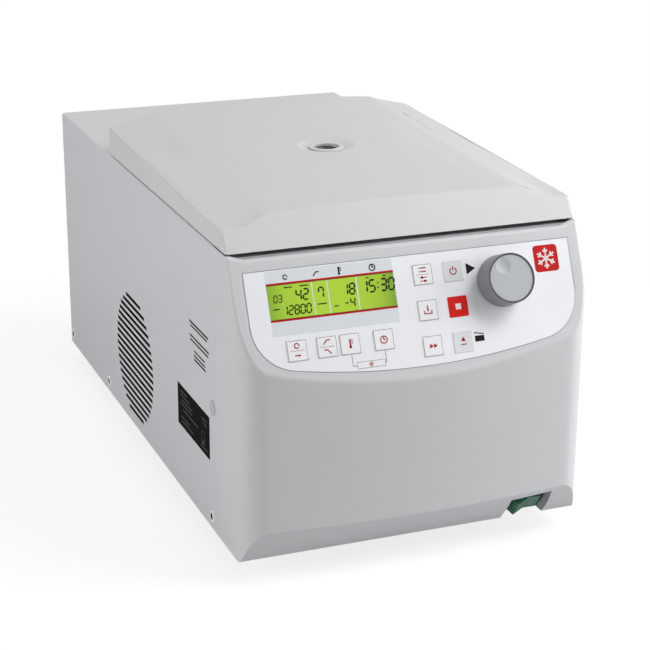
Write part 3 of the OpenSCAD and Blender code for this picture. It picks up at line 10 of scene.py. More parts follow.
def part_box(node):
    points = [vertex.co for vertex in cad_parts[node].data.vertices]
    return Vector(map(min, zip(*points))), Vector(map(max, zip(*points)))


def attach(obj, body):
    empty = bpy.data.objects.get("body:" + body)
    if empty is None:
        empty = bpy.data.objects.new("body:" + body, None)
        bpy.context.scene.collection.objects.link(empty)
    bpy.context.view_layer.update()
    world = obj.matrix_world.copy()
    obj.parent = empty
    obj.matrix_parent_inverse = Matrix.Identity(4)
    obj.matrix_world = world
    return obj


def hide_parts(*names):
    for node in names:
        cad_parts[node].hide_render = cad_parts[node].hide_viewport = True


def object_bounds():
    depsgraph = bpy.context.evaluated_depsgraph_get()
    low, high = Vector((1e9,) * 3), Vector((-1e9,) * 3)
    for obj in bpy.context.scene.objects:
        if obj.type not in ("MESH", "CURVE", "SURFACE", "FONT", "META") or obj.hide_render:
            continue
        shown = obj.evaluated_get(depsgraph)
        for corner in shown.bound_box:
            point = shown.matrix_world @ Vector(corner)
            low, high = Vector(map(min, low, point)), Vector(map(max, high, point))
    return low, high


# Bench-top refrigerated centrifuge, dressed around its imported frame. Metres throughout.
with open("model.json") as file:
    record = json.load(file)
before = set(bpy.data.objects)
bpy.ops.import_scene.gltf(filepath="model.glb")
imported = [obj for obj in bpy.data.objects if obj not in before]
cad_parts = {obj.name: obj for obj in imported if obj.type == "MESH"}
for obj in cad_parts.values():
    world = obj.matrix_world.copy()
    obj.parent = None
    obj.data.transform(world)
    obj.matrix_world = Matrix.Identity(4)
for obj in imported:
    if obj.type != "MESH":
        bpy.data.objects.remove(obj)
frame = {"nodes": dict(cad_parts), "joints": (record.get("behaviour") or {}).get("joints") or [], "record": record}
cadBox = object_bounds()
nodes = frame["nodes"]
joints = {joint["name"]: joint for joint in frame["joints"]}
slotOf = {part["node"]: part["material_slot"] for part in frame["record"]["subparts"]}
print("frame loaded with", len(nodes), "nodes")


# Camera at the place that the picture was taken from
cameraSetup = {
    "place": Vector((-0.5181, -1.38275, 0.6270)),
    "azimuth": math.radians(-21.44),
    "elevation": math.radians(19.40),
    "roll": math.radians(0.33),
    "lens": 98.2,
}


def addCamera(setup):
    turn, rise, roll = setup["azimuth"], setup["elevation"], setup["roll"]
    back = Vector((math.sin(turn) * math.cos(rise), -math.cos(turn) * math.cos(rise), math.sin(rise)))
    right = Vector((0, 0, 1)).cross(back).normalized()
    up = back.cross(right)
    tiltedRight = math.cos(roll) * right + math.sin(roll) * up
    tiltedUp = math.cos(roll) * up - math.sin(roll) * right
    data = bpy.data.cameras.new("photoCamera")
    data.lens = setup["lens"]
    data.sensor_width = 36
    data.clip_end = 50
    camera = bpy.data.objects.new("photoCamera", data)
    bpy.context.scene.collection.objects.link(camera)
    basis = Matrix((tiltedRight, tiltedUp, back)).transposed().to_4x4()
    camera.matrix_world = Matrix.Translation(setup["place"]) @ basis
    bpy.context.scene.camera = camera


addCamera(cameraSetup)
print("camera placed")


# Shader helpers
def paint(red, green, blue):
    def linear(value):
        share = value / 255
        return share / 12.92 if share <= 0.04045 else ((share + 0.055) / 1.055) ** 2.4
    return (linear(red), linear(green), linear(blue), 1)


def newGroup(name, inputs, outputs):
    group = bpy.data.node_groups.new(name, "ShaderNodeTree")
    for label, kind, value in inputs:
        socket = group.interface.new_socket(name=label, in_out="INPUT", socket_type=kind)
        if value is not None:
            socket.default_value = value
    for label, kind in outputs:
        group.interface.new_socket(name=label, in_out="OUTPUT", socket_type=kind)
    return group, group.nodes.new("NodeGroupInput"), group.nodes.new("NodeGroupOutput")


def addNode(tree, kind, settings=None, values=None):
    node = tree.nodes.new(kind)
    for key, value in (settings or {}).items():
        setattr(node, key, value)
    for key, value in (values or {}).items():
        node.inputs[key].default_value = value
    return node


def linkAll(tree, *pairs):
    for source, target in pairs:
        tree.links.new(source, target)


def shadeBy(tree, factor, tone, drift):
    # Lightens and darkens a tone by a share that follows factor
    centred = addNode(tree, "ShaderNodeMath", {"operation": "SUBTRACT"}, {1: 0.5})
    spread = addNode(tree, "ShaderNodeMath", {"operation": "MULTIPLY_ADD"}, {2: 1})
    scale = addNode(tree, "ShaderNodeVectorMath", {"operation": "SCALE"})
    linkAll(tree, (factor, centred.inputs[0]), (centred.outputs[0], spread.inputs[0]),
            (drift, spread.inputs[1]), (tone, scale.inputs[0]), (spread.outputs[0], scale.inputs["Scale"]))
    return scale.outputs["Vector"]


def roughBy(tree, factor, rough, swing):
    # Roughness that swings about its middle with factor
    centred = addNode(tree, "ShaderNodeMath", {"operation": "SUBTRACT"}, {1: 0.5})
    sway = addNode(tree, "ShaderNodeMath", {"operation": "MULTIPLY_ADD", "use_clamp": True}, {1: swing})
    linkAll(tree, (factor, centred.inputs[0]), (centred.outputs[0], sway.inputs[0]),
            (rough, sway.inputs[2]))
    return sway.outputs[0]


finishInputs = [
    ("Place", "NodeSocketVector", None),
    ("Tone", "NodeSocketColor", (0.5, 0.5, 0.5, 1)),
    ("Drift", "NodeSocketFloat", 0.04),
    ("Rough", "NodeSocketFloat", 0.5),
    ("Grain", "NodeSocketFloat", 1500),
]
finishOutputs = [("Tone", "NodeSocketColor"), ("Rough", "NodeSocketFloat"), ("Height", "NodeSocketFloat")]


def closeGroup(group, start, end, drifting, grained, swing):
    # Tone drifts with one pattern, roughness and height follow the other
    tone = shadeBy(group, drifting, start.outputs["Tone"], start.outputs["Drift"])
    rough = roughBy(group, grained, start.outputs["Rough"], swing)
    linkAll(group, (tone, end.inputs["Tone"]), (rough, end.inputs["Rough"]),
            (grained, end.inputs["Height"]))
    return group


def buildMouldedGrain():
    # Fine spark grain with a slow drift of tone, for mouldings, enamel and rubber
    group, start, end = newGroup("mouldedGrain", finishInputs, finishOutputs)
    fine = addNode(group, "ShaderNodeTexNoise", None, {"Detail": 2, "Roughness": 0.6})
    slow = addNode(group, "ShaderNodeTexNoise", None, {"Scale": 11, "Detail": 3, "Roughness": 0.55})
    place, grain = start.outputs["Place"], start.outputs["Grain"]
    linkAll(group, (place, fine.inputs["Vector"]), (grain, fine.inputs["Scale"]),
            (place, slow.inputs["Vector"]))
    return closeGroup(group, start, end, slow.outputs["Fac"], fine.outputs["Fac"], 0.16)


def buildTurnedMarks():
    # Rings left by a lathe or a spinning tool, around the local Z axis
    group, start, end = newGroup("turnedMarks", finishInputs, finishOutputs)
    split = addNode(group, "ShaderNodeSeparateXYZ")
    flat = addNode(group, "ShaderNodeCombineXYZ")
    reach = addNode(group, "ShaderNodeVectorMath", {"operation": "LENGTH"})
    ring = addNode(group, "ShaderNodeCombineXYZ")
    marks = addNode(group, "ShaderNodeTexNoise", None, {"Detail": 3, "Roughness": 0.7})
    linkAll(group, (start.outputs["Place"], split.inputs[0]), (split.outputs["X"], flat.inputs["X"]),
            (split.outputs["Y"], flat.inputs["Y"]), (flat.outputs[0], reach.inputs[0]),
            (reach.outputs["Value"], ring.inputs["X"]), (split.outputs["Z"], ring.inputs["Y"]),
            (ring.outputs[0], marks.inputs["Vector"]), (start.outputs["Grain"], marks.inputs["Scale"]))
    return closeGroup(group, start, end, marks.outputs["Fac"], marks.outputs["Fac"], 0.22)


def buildRolledLines():
    # Long faint lines of rolled or brushed sheet, along the local Y axis
    group, start, end = newGroup("rolledLines", finishInputs, finishOutputs)
    stretch = addNode(group, "ShaderNodeVectorMath", {"operation": "MULTIPLY"}, {1: (1, 0.03, 1)})
    lines = addNode(group, "ShaderNodeTexNoise", None, {"Detail": 3, "Roughness": 0.65})
    linkAll(group, (start.outputs["Place"], stretch.inputs[0]),
            (stretch.outputs["Vector"], lines.inputs["Vector"]),
            (start.outputs["Grain"], lines.inputs["Scale"]))
    return closeGroup(group, start, end, lines.outputs["Fac"], lines.outputs["Fac"], 0.2)


surfaceGroups = {
    "moulded": buildMouldedGrain(),
    "turned": buildTurnedMarks(),
    "rolled": buildRolledLines(),
}


def finish(name, tone, rough, kind="moulded", grain=1500, depth=0.00002, drift=0.05, centre=None, turn=None,
           **sockets):
    material = bpy.data.materials.new(name)
    material.use_nodes = True
    tree = material.node_tree
    shader = tree.nodes["Principled BSDF"]
    place = addNode(tree, "ShaderNodeTexCoord").outputs["Object"]
    if centre is not None or turn is not None:
        moved = addNode(tree, "ShaderNodeMapping", {"vector_type": "TEXTURE"},
                        {"Location": centre or (0, 0, 0), "Rotation": turn or (0, 0, 0)})
        tree.links.new(place, moved.inputs["Vector"])
        place = moved.outputs["Vector"]
    surface = addNode(tree, "ShaderNodeGroup", {"node_tree": surfaceGroups[kind]},
                      {"Tone": tone, "Drift": drift, "Rough": rough, "Grain": grain})
    bump = addNode(tree, "ShaderNodeBump", None, {"Strength": 1, "Distance": depth})
    linkAll(tree, (place, surface.inputs["Place"]), (surface.outputs["Tone"], shader.inputs["Base Color"]),
            (surface.outputs["Rough"], shader.inputs["Roughness"]),
            (surface.outputs["Height"], bump.inputs["Height"]),
            (bump.outputs["Normal"], shader.inputs["Normal"]))
    for socket, value in sockets.items():
        shader.inputs[socket].default_value = value
    return material


# Places that several finishes and pieces share
outward = -Vector(joints["program_key_press"]["axis"])    # out of the fascia
uphill = outward.cross(Vector((1, 0, 0)))                  # up the fascia
rotorPlace = Vector(joints["rotor_spin"]["pos_m"])
fasciaTilt = (math.pi / 2 - math.asin(outward.z), 0, 0)
keyNames = [name[:-len("_press")] for name in joints if name.endswith("_key_press")]
keyPlaces = {name: Vector(joints[name + "_press"]["pos_m"]) for name in keyNames}

# Inks and dark mouldings hardly shine, so their colour stays deep under a white surround
dull = {"Specular IOR Level": 0.12}
# Grain of smooth films and of thin prints
film = {"grain": 900, "depth": 0.000006}
thinInk = {"grain": 1200, "depth": 0.000004}

# One finish for each material slot of the record
finishes = {
    "housing_enamel": finish("housingEnamel", paint(211, 212, 215), 0.44, grain=700, depth=0.000012,
                             drift=0.03, **{"Coat Weight": 0.08, "Coat Roughness": 0.3}),
    "front_moulding": finish("frontMoulding", paint(212, 212, 215), 0.52, grain=1700, drift=0.03),
    "lid_moulding": finish("lidMoulding", paint(212, 212, 214), 0.5, grain=1700, drift=0.03),
    "sheet_steel": finish("zincSheet", paint(172, 175, 178), 0.4, "rolled", grain=900, drift=0.22,
                          Metallic=0.9),
    "stainless": finish("spunStainless", paint(200, 201, 203), 0.27, "turned", grain=1600, drift=0.16,
                        centre=rotorPlace, Metallic=1.0),
    "copper": finish("dullCopper", paint(196, 122, 84), 0.36, grain=300, drift=0.3, Metallic=1.0),
    "foam": finish("closedFoam", paint(52, 53, 56), 0.92, grain=600, depth=0.0003, drift=0.3),
    "rubber_black": finish("blackRubber", paint(34, 34, 36), 0.72, grain=1100, depth=0.00004, drift=0.25),
    "rubber_grey": finish("greyRubber", paint(112, 114, 117), 0.7, grain=1100, depth=0.00004, drift=0.12),
    "motor_cast": finish("castAluminium", paint(158, 160, 163), 0.5, grain=420, depth=0.0001, drift=0.16,
                         Metallic=0.75),
    "bright_steel": finish("groundSteel", paint(204, 206, 208), 0.24, "rolled", grain=2200, drift=0.12,
                           Metallic=1.0),
    "rotor_alu": finish("anodisedRotor", paint(150, 154, 161), 0.34, "turned", grain=1300, drift=0.14,
                        centre=rotorPlace, Metallic=0.85),
    "dark_plastic": finish("darkMoulding", paint(34, 35, 38), 0.6, grain=1400, depth=0.00003, drift=0.2,
                           **dull),
    "liner_plastic": finish("linerSheet", paint(196, 198, 201), 0.5, grain=1200, drift=0.05),
    "compressor_black": finish("blackLacquer", paint(27, 27, 29), 0.3, grain=260, depth=0.00006, drift=0.3,
                               **{"Coat Weight": 0.4, "Coat Roughness": 0.15}),
    "board_green": finish("solderMask", paint(26, 92, 58), 0.34, "rolled", grain=420, depth=0.00005,
                          drift=0.5),
    "foil_white": finish("whiteFoil", paint(247, 249, 253), 0.36, drift=0.015, **film),
    "key_white": finish("whiteKey", paint(248, 249, 252), 0.38, drift=0.015, **film),
    "key_red": finish("redKey", paint(228, 36, 28), 0.5, drift=0.05, **film, **dull),
    "key_grey": finish("paleKey", paint(226, 229, 231), 0.4, drift=0.02, **film),
    "knob_grey": finish("knobMoulding", paint(126, 129, 131), 0.46, grain=1600, drift=0.05),
    "rocker_green": finish("greenRocker", paint(26, 104, 72), 0.28, grain=500, depth=0.000008, drift=0.2,
                           **{"Coat Weight": 0.25, "Coat Roughness": 0.12}),
    "plate_black": finish("plateFilm", paint(17, 16, 15), 0.7, grain=800, depth=0.00001, drift=0.25,
                          **{"Specular IOR Level": 0.03}),
    "plug_grey": finish("plugMoulding", paint(190, 191, 194), 0.5, grain=1500, drift=0.05),
}

# Inks, small finishes of the printed and fitted details, and dark finishes that paint shade
inks = {
    "red": finish("redInk", paint(206, 30, 30), 0.55, drift=0.1, **thinInk, **dull),
    "sign": finish("signInk", paint(168, 24, 40), 0.55, drift=0.1, **thinInk, **dull),
    "deepRed": finish("deepRedInk", paint(150, 40, 34), 0.55, drift=0.1, **thinInk, **dull),
    "line": finish("outlineInk", paint(112, 52, 58), 0.55, drift=0.2, **thinInk, **dull),
    "black": finish("blackInk", paint(16, 16, 18), 0.6, drift=0.2, **thinInk, **dull),
    # Thin line of painted shade along the foil's edge
    "rim": finish("foilEdgeShade", paint(114, 116, 122), 0.55, drift=0.15, **thinInk, **dull),
    "white": finish("whiteInk", paint(240, 240, 242), 0.5, drift=0.03, **thinInk),
    "zone": finish("displayZoneInk", paint(226, 231, 236), 0.42, drift=0.02, **film),
    "segment": finish("displaySegment", paint(22, 40, 10), 0.6, drift=0.1, **thinInk, **dull),
    "grey": finish("plateInk", paint(96, 94, 90), 0.6, grain=1500, depth=0.000004, drift=0.5, **dull),
    "face": finish("knobFace", paint(186, 190, 193), 0.5, "turned", drift=0.03, **film,
                   centre=joints["knob_turn"]["pos_m"], turn=fasciaTilt),
    "knobRim": finish("knobRim", paint(82, 84, 86), 0.5, grain=1600, depth=0.000008, drift=0.06, **dull),
    # Dark finish for the condenser, a painted shade behind the grille
    "fins": finish("condenserPaintedShade", paint(66, 68, 70), 0.62, "rolled", grain=1500, drift=0.3, Metallic=0.5),
    "washer": finish("nylonWasher", paint(252, 252, 252), 0.34, grain=1300, depth=0.00001, drift=0.04),
    # Near black painted shade for the lid's gap, the sight bore, the grille's slot walls, the pan's flange and the
    # screw sockets
    "paintedShade": finish("paintedShadeBlack", paint(14, 14, 15), 0.7, grain=900, depth=0.00001, drift=0.2, **dull),
}


def displayLime():
    # Lit display: lime in the middle, deeper green towards the two ends
    material = finish("displayLime", paint(168, 208, 46), 0.22, grain=900, depth=0.000004, drift=0.04)
    tree = material.node_tree
    surface = next(node for node in tree.nodes if node.type == "GROUP")
    low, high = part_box("display_window")
    place = next(node for node in tree.nodes if node.type == "TEX_COORD").outputs["Object"]
    split = addNode(tree, "ShaderNodeSeparateXYZ")
    share = addNode(tree, "ShaderNodeMapRange", None, {"From Min": low.x, "From Max": high.x})
    ramp = addNode(tree, "ShaderNodeValToRGB")
    ramp.color_ramp.interpolation = "B_SPLINE"
    stops = [(0.0, paint(126, 168, 34)), (0.12, paint(168, 206, 44)), (0.55, paint(176, 214, 50)),
             (0.88, paint(160, 198, 40)), (1.0, paint(112, 152, 34))]
    ramp.color_ramp.elements[0].position, ramp.color_ramp.elements[0].color = stops[0]
    ramp.color_ramp.elements[1].position, ramp.color_ramp.elements[1].color = stops[-1]
    for position, colour in stops[1:-1]:
        ramp.color_ramp.elements.new(position).color = colour
    shader = tree.nodes["Principled BSDF"]
    shader.inputs["Emission Strength"].default_value = 0.12
    linkAll(tree, (place, split.inputs[0]), (split.outputs["X"], share.inputs["Value"]),
            (share.outputs["Result"], ramp.inputs["Fac"]), (ramp.outputs["Color"], surface.inputs["Tone"]),
            (ramp.outputs["Color"], shader.inputs["Emission Color"]))
    return material


def clearGlass():
    # Sight glass: clear moulded lens with the faintest haze
    material = finish("sightGlass", paint(238, 242, 243), 0.03, grain=300, depth=0.000002, drift=0.01)
    shader = material.node_tree.nodes["Principled BSDF"]
    shader.inputs["Transmission Weight"].default_value = 1
    shader.inputs["IOR"].default_value = 1.35
    shader.inputs["Alpha"].default_value = 0.15
    return material


finishes["lcd_green"] = displayLime()
finishes["window_clear"] = clearGlass()
print("finishes mixed:", len(finishes) + len(inks))


# Every carried node takes the finish of its slot
def dress(node, material):
    node.data.materials.clear()
    node.data.materials.append(material)


for nodeName, node in nodes.items():
    dress(node, finishes[slotOf[nodeName]])
# The condenser is dressed dark instead, as painted shade behind the grille
dress(nodes["condenser"], inks["fins"])
print("carried nodes dressed")


# Mesh helpers
weldGap = 0.000004     # points closer than this are one point
cutSnap = 0.000005     # a cut keeps points that lie this close to it


def mergedCopy(nodeName, flat=math.radians(0.08), weld=weldGap):
    mesh = bmesh.new()
    mesh.from_mesh(nodes[nodeName].data)
    bmesh.ops.remove_doubles(mesh, verts=mesh.verts, dist=weld)
    bmesh.ops.dissolve_limit(mesh, angle_limit=flat, verts=mesh.verts, edges=mesh.edges)
    return mesh


def sortFaces(mesh):
    # Some operators leave the faces in another order at each run, so they go by the order of their points
    mesh.verts.index_update()
    total = len(mesh.verts)

    def rank(face):
        first, second, third = sorted(vert.index for vert in face.verts)[:3]
        return (first * total + second) * total + third

    mesh.faces.sort(key=rank)


def roundEdges(mesh, width, where, least=20, steps=3):
    # Rounds the outward edges that are sharper than least degrees and lie where the test says
    chosen = []
    for edge in mesh.edges:
        if len(edge.link_faces) != 2 or not edge.is_convex:
            continue
        if edge.calc_face_angle(0) < math.radians(least):
            continue
        middle = (edge.verts[0].co + edge.verts[1].co) / 2
        if where(middle, edge):
            chosen.append(edge)
    bmesh.ops.bevel(mesh, geom=chosen, offset=width, offset_type="OFFSET", segments=steps, profile=0.5,
                    affect="EDGES", clamp_overlap=False, loop_slide=False, material=-1)
    sortFaces(mesh)
    return len(chosen)


def everywhere(middle, edge):
    return True


def cutThrough(mesh, place, axis):
    bmesh.ops.bisect_plane(mesh, geom=mesh.verts[:] + mesh.edges[:] + mesh.faces[:], dist=cutSnap,
                           plane_co=place, plane_no=axis)


def faceUp(mesh):
    bmesh.ops.recalc_face_normals(mesh, faces=mesh.faces)
    for face in mesh.faces:
        if face.normal.z < 0:
            face.normal_flip()


def spinOutline(mesh, outline, centre, steps, weld=weldGap):
    # Turned body about an upright axis, from an outline of reach and height that starts and ends on it
    verts = [mesh.verts.new((centre.x + reach, centre.y, height)) for reach, height in outline]
    edges = [mesh.edges.new(pair) for pair in zip(verts, verts[1:])]
    bmesh.ops.spin(mesh, geom=verts + edges, cent=(centre.x, centre.y, 0), axis=(0, 0, 1),
                   angle=2 * math.pi, steps=steps, use_merge=True)
    bmesh.ops.remove_doubles(mesh, verts=mesh.verts, dist=weld)
    bmesh.ops.recalc_face_normals(mesh, faces=mesh.faces)


def finishMesh(mesh, sharp=32):
    sortFaces(mesh)
    for face in mesh.faces:
        face.smooth = True
    for edge in mesh.edges:
        if len(edge.link_faces) == 2 and edge.calc_face_angle(0) > math.radians(sharp):
            edge.smooth = False


def makePiece(name, mesh, materials, body, replaced=(), sharp=32):
    finishMesh(mesh, sharp)
    data = bpy.data.meshes.new(name)
    mesh.to_mesh(data)
    mesh.free()
    for material in materials:
        data.materials.append(material)
    piece = bpy.data.objects.new(name, data)
    bpy.context.scene.collection.objects.link(piece)
    weighted = piece.modifiers.new("flatFaces", "WEIGHTED_NORMAL")
    weighted.keep_sharp = True
    weighted.weight = 90
    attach(piece, body)
    if replaced:
        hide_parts(*replaced)
    return piece


def placed(x, y, turn=0, wide=1, tall=1):
    return (Matrix.Translation((x, y, 0)) @ Matrix.Rotation(turn, 4, "Z")
            @ Matrix.Diagonal((wide, tall, 1, 1)))


# Flat shapes for prints, drawn in a local X, Y plane
def drawBar(mesh, x, y, wide, tall, turn=0):
    place = placed(x, y, turn, wide, tall)
    return bmesh.ops.create_grid(mesh, x_segments=1, y_segments=1, size=0.5, matrix=place)["verts"]


def drawDisc(mesh, x, y, radius, sides=28, turn=0):
    bmesh.ops.create_circle(mesh, cap_ends=True, segments=sides, radius=radius, matrix=placed(x, y, turn))


def drawArc(mesh, x, y, radius, wide, start, sweep, steps=20):
    aim = Vector((math.cos(start), math.sin(start), 0))
    centre = Vector((x, y, 0))
    inner = mesh.verts.new(centre + aim * (radius - wide / 2))
    outer = mesh.verts.new(centre + aim * (radius + wide / 2))
    edge = mesh.edges.new((inner, outer))
    closed = abs(sweep) > 2 * math.pi - 0.001
    bmesh.ops.spin(mesh, geom=[inner, outer, edge], cent=centre, axis=(0, 0, 1), angle=sweep,
                   steps=steps, use_merge=closed)


def drawFrame(mesh, x, y, wide, tall, line):
    corners = drawBar(mesh, x, y, wide, tall)
    face = corners[0].link_faces[0]
    bmesh.ops.inset_individual(mesh, faces=[face], thickness=line)
    bmesh.ops.delete(mesh, geom=[face], context="FACES")


def drawStroke(mesh, x0, y0, x1, y1, wide, past=0.6):
    # A stroke runs past its two ends by a share of its width, so that joined strokes close
    length = math.hypot(x1 - x0, y1 - y0) + wide * past
    drawBar(mesh, (x0 + x1) / 2, (y0 + y1) / 2, length, wide, math.atan2(y1 - y0, x1 - x0))


def drawArrowHead(mesh, x, y, size, turn):
    drawDisc(mesh, x, y, size, 3, turn - math.pi / 2)    # a three-sided disc starts with its tip up


inkThick = 0.00004     # thickness of a printed skin


def printPiece(name, draw, local, ink, body):
    # A print is a thin closed skin: drawn flat, given its thickness, then laid on its carrier
    mesh = bmesh.new()
    draw(mesh)
    faceUp(mesh)
    raised = bmesh.ops.extrude_face_region(mesh, geom=list(mesh.faces), use_keep_orig=True)
    top = [item for item in raised["geom"] if isinstance(item, bmesh.types.BMVert)]
    bmesh.ops.translate(mesh, verts=top, vec=(0, 0, inkThick))
    bmesh.ops.recalc_face_normals(mesh, faces=mesh.faces)
    bmesh.ops.transform(mesh, matrix=local, verts=mesh.verts)
    return makePiece(name, mesh, [ink], body)


# Local frame on the fascia: X across, Y uphill, Z outward
fascia = {
    "datumRow": 0.0248,      # distance of the program key below the fascia's top edge
    "foilLift": 0.0002,      # foil's face above the fascia
    "keyLift": 0.0007,       # key's face above the fascia
    "sink": 0.00001,         # how deep a print is bedded
}
fasciaDatum = keyPlaces["program_key"]


def rowOf(place):
    # Distance of a place below the fascia's top edge
    return fascia["datumRow"] + (fasciaDatum - place).dot(uphill)


def onFascia(across, row, lift):
    origin = Vector((across, fasciaDatum.y, fasciaDatum.z))
    origin += uphill * (fascia["datumRow"] - row) + outward * (lift - fascia["sink"])
    turned = Matrix((Vector((1, 0, 0)), uphill, outward)).transposed().to_4x4()
    return Matrix.Translation(origin) @ turned


# Lid: rounded edges, straight flanks up to the crown, and a low panel whose soft border rises out of it
lidLook = {
    # Cleaning of the solid's facets: welded gap, and how flat and how square joined triangles are
    "weld": 0.00015, "flat": math.radians(0.02), "joinFlat": 0.03, "joinSquare": 3.1,
    # Rounding of the upper rim and of the lower edge: width, least angle, steps, and where they lie
    "edge": 0.0020, "edgeAngle": 22, "edgeSteps": 5, "lowEdge": 0.0005, "lowAngle": 30, "lowSteps": 2,
    "rimUp": 0.004, "frontZone": 0.022, "rearZone": 0.008, "touch": 0.0005,
    # Faces that take painted shade in the lid's gap: height above the lid's foot, and how far down they face
    "gapUp": 0.0006, "gapFacing": -0.2,
    # Straight flanks: outer and inner line, stretch over which they fade in at the front, cuts that let
    # them bend, and climb to the rear
    "flankFrom": 0.1390, "flankTo": 0.1085, "flankFront": (-0.205, -0.150), "ledgeFrom": 0.09,
    "flankCuts": 12, "cut": 0.006, "rearCut": 0.015, "rearCutFrom": 0.010, "rearStop": 0.004,
    "upperFrom": 0.008, "rearRow": 0.003, "rearLift": 0.0016, "rearFrom": -0.040,
    # Panel: outline, height of its border, and how that dies away inwards and to the front
    "panelHalf": 0.084, "panelRear": 0.012, "panelFront": -0.185, "panelCorner": 0.034,
    "rise": 0.0007, "slope": 0.009, "fall": 0.050, "fade": 0.070,
    # Crown: even skin on a grid, smoothed, open round the dish, with short gaps bridged
    "grid": 0.0025, "smooth": 8, "dish": 0.034, "skin": 0.0004, "proud": 0.00004, "bridge": 0.0032,
    "gapSides": 60, "frontInset": 0.004, "sideInset": 0.0027, "steepest": 0.78,
    # How far and where the moulding steps back under the crown
    "stepBack": 0.0004, "backFrom": 0.075, "margin": 0.006, "sameHeight": 0.0002,
}
downwards = Vector((0, 0, -1))


def smoothStep(start, stop, value):
    share = min(1, max(0, (value - start) / (stop - start)))
    return share * share * (3 - 2 * share)


def panelLift(x, y, look):
    # Height of the panel's border over the crown, dying away inwards and towards the front
    half = (look["panelRear"] - look["panelFront"]) / 2
    across = abs(x) - look["panelHalf"] + look["panelCorner"]
    along = abs(y - look["panelRear"] + half) - half + look["panelCorner"]
    outside = math.hypot(max(across, 0), max(along, 0)) + min(max(across, along), 0) - look["panelCorner"]
    border = smoothStep(-look["slope"] / 2, look["slope"] / 2, -outside)
    inward = 1 - smoothStep(look["slope"] / 2, look["fall"], -outside)
    fade = smoothStep(look["panelFront"], look["panelFront"] + look["fade"], y)
    return look["rise"] * border * inward * fade


def flankLift(tree, x, y, rear, look):
    # Height that brings the ledge and the foot of the crown onto one straight flank
    reach = abs(x)
    if not look["flankTo"] < reach < look["flankFrom"]:
        return 0
    row = min(y, rear)

    def topAt(across):
        found = tree.ray_cast(Vector((math.copysign(across, x), row, 1)), downwards)[0]
        return found.z if found else 0

    outer, inner = topAt(look["flankFrom"]), topAt(look["flankTo"])
    share = (look["flankFrom"] - reach) / (look["flankFrom"] - look["flankTo"])
    return (outer + (inner - outer) * share - topAt(reach)) * smoothStep(*look["flankFront"], y)


def cutStrips(mesh, axis, start, stop, step, where, level=0.8):
    # Cuts the upper faces that the test picks into narrow strips, which can then be bent
    place = start
    while place < stop:
        upper = [face for face in mesh.faces if face.normal.z > level and where(face)]
        edges = {edge for face in upper for edge in face.edges}
        verts = {vert for face in upper for vert in face.verts}
        bmesh.ops.bisect_plane(mesh, geom=list(verts) + list(edges) + upper, dist=cutSnap,
                               plane_co=axis * place, plane_no=axis)
        place += step
    sortFaces(mesh)


def buildLid(look):
    low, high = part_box("lid_shell")
    mesh = mergedCopy("lid_shell", look["flat"], look["weld"])
    bmesh.ops.join_triangles(mesh, faces=mesh.faces, angle_face_threshold=look["joinFlat"],
                             angle_shape_threshold=look["joinSquare"])

    def onSide(middle):
        return abs(abs(middle.x) - high.x) < look["touch"]

    def upperRim(middle, edge):
        onEnd = middle.y < low.y + look["frontZone"] or middle.y > high.y - look["rearZone"]
        return middle.z > low.z + look["rimUp"] and (onSide(middle) or onEnd)

    def lowerRim(middle, edge):
        onFront = middle.y < low.y + look["touch"]
        return middle.z < low.z + look["touch"] and (onSide(middle) or onFront)

    def onLedge(face):
        return abs(face.calc_center_median().x) > look["ledgeFrom"]

    count = roundEdges(mesh, look["edge"], upperRim, look["edgeAngle"], look["edgeSteps"])
    count += roundEdges(mesh, look["lowEdge"], lowerRim, look["lowAngle"], look["lowSteps"])

    across, along = Vector((1, 0, 0)), Vector((0, 1, 0))
    wide = look["flankFrom"] - look["flankTo"]
    fadeStart, fadeStop = look["flankFront"]
    slack = 0.0001    # keeps a strip's last cut
    for start in (-look["flankFrom"], look["flankTo"]):
        cutStrips(mesh, across, start, start + wide + slack, wide / look["flankCuts"], onLedge)
    cutStrips(mesh, along, fadeStart, fadeStop + 10 * slack, look["cut"], onLedge)
    rearStart, rearStop = fadeStop + look["rearCutFrom"], high.y - look["rearStop"]
    cutStrips(mesh, along, rearStart, rearStop, look["rearCut"], onLedge)

    tree = BVHTree.FromBMesh(mesh)
    upper = [vert for vert in mesh.verts if vert.co.z > low.z + look["upperFrom"]]
    lifts = [flankLift(tree, vert.co.x, vert.co.y, high.y - look["rearRow"], look) for vert in upper]
    for vert, lift in zip(upper, lifts):
        vert.co.z += lift + look["rearLift"] * smoothStep(look["rearFrom"], high.y, vert.co.y)
    for face in mesh.faces:
        # The lower edge and underside take painted shade for the dark of the lid's gap
        inGap = face.normal.z < look["gapFacing"] and face.calc_center_median().z < low.z + look["gapUp"]
        face.material_index = 1 if inGap else 0
    tree = BVHTree.FromBMesh(mesh)

    def upperAt(x, y):
        found, normal = tree.ray_cast(Vector((x, y, 1)), downwards)[:2]
        return found.z if found and normal.z > look["steepest"] else None

    def covered(vert):
        x, y = vert.co.xy
        heights = heightsAround(upperAt, x, y, look["margin"]) + [upperAt(x, y)]
        if None in heights:
            return False
        return abs(heights[-1] - vert.co.z) < look["sameHeight"] and abs(x) > look["backFrom"]

    # The moulding's own upper side steps back under the crown's even skin
    hidden = [vert for vert in mesh.verts if covered(vert)]
    bmesh.ops.translate(mesh, verts=hidden, vec=(0, 0, -look["stepBack"]))
    crown = buildCrown(upperAt, low, high, look)
    for vert in upper:
        # Points that would still stand through the crown go below it
        found = crown.ray_cast(Vector((vert.co.x, vert.co.y, 1)), downwards)[0]
        above = vert.co.z - found.z if found else -1
        if vert.co.y > fadeStop and -look["proud"] / 2 < above < look["edge"]:
            vert.co.z = found.z - look["stepBack"]
    materials = [finishes["lid_moulding"], inks["paintedShade"]]
    makePiece("lidSkin", mesh, materials, "lid", ["lid_shell"])
    print("lid rounded along", count, "edges")


def heightsAround(heightAt, x, y, step):
    return [heightAt(x + step, y), heightAt(x - step, y), heightAt(x, y + step), heightAt(x, y - step)]


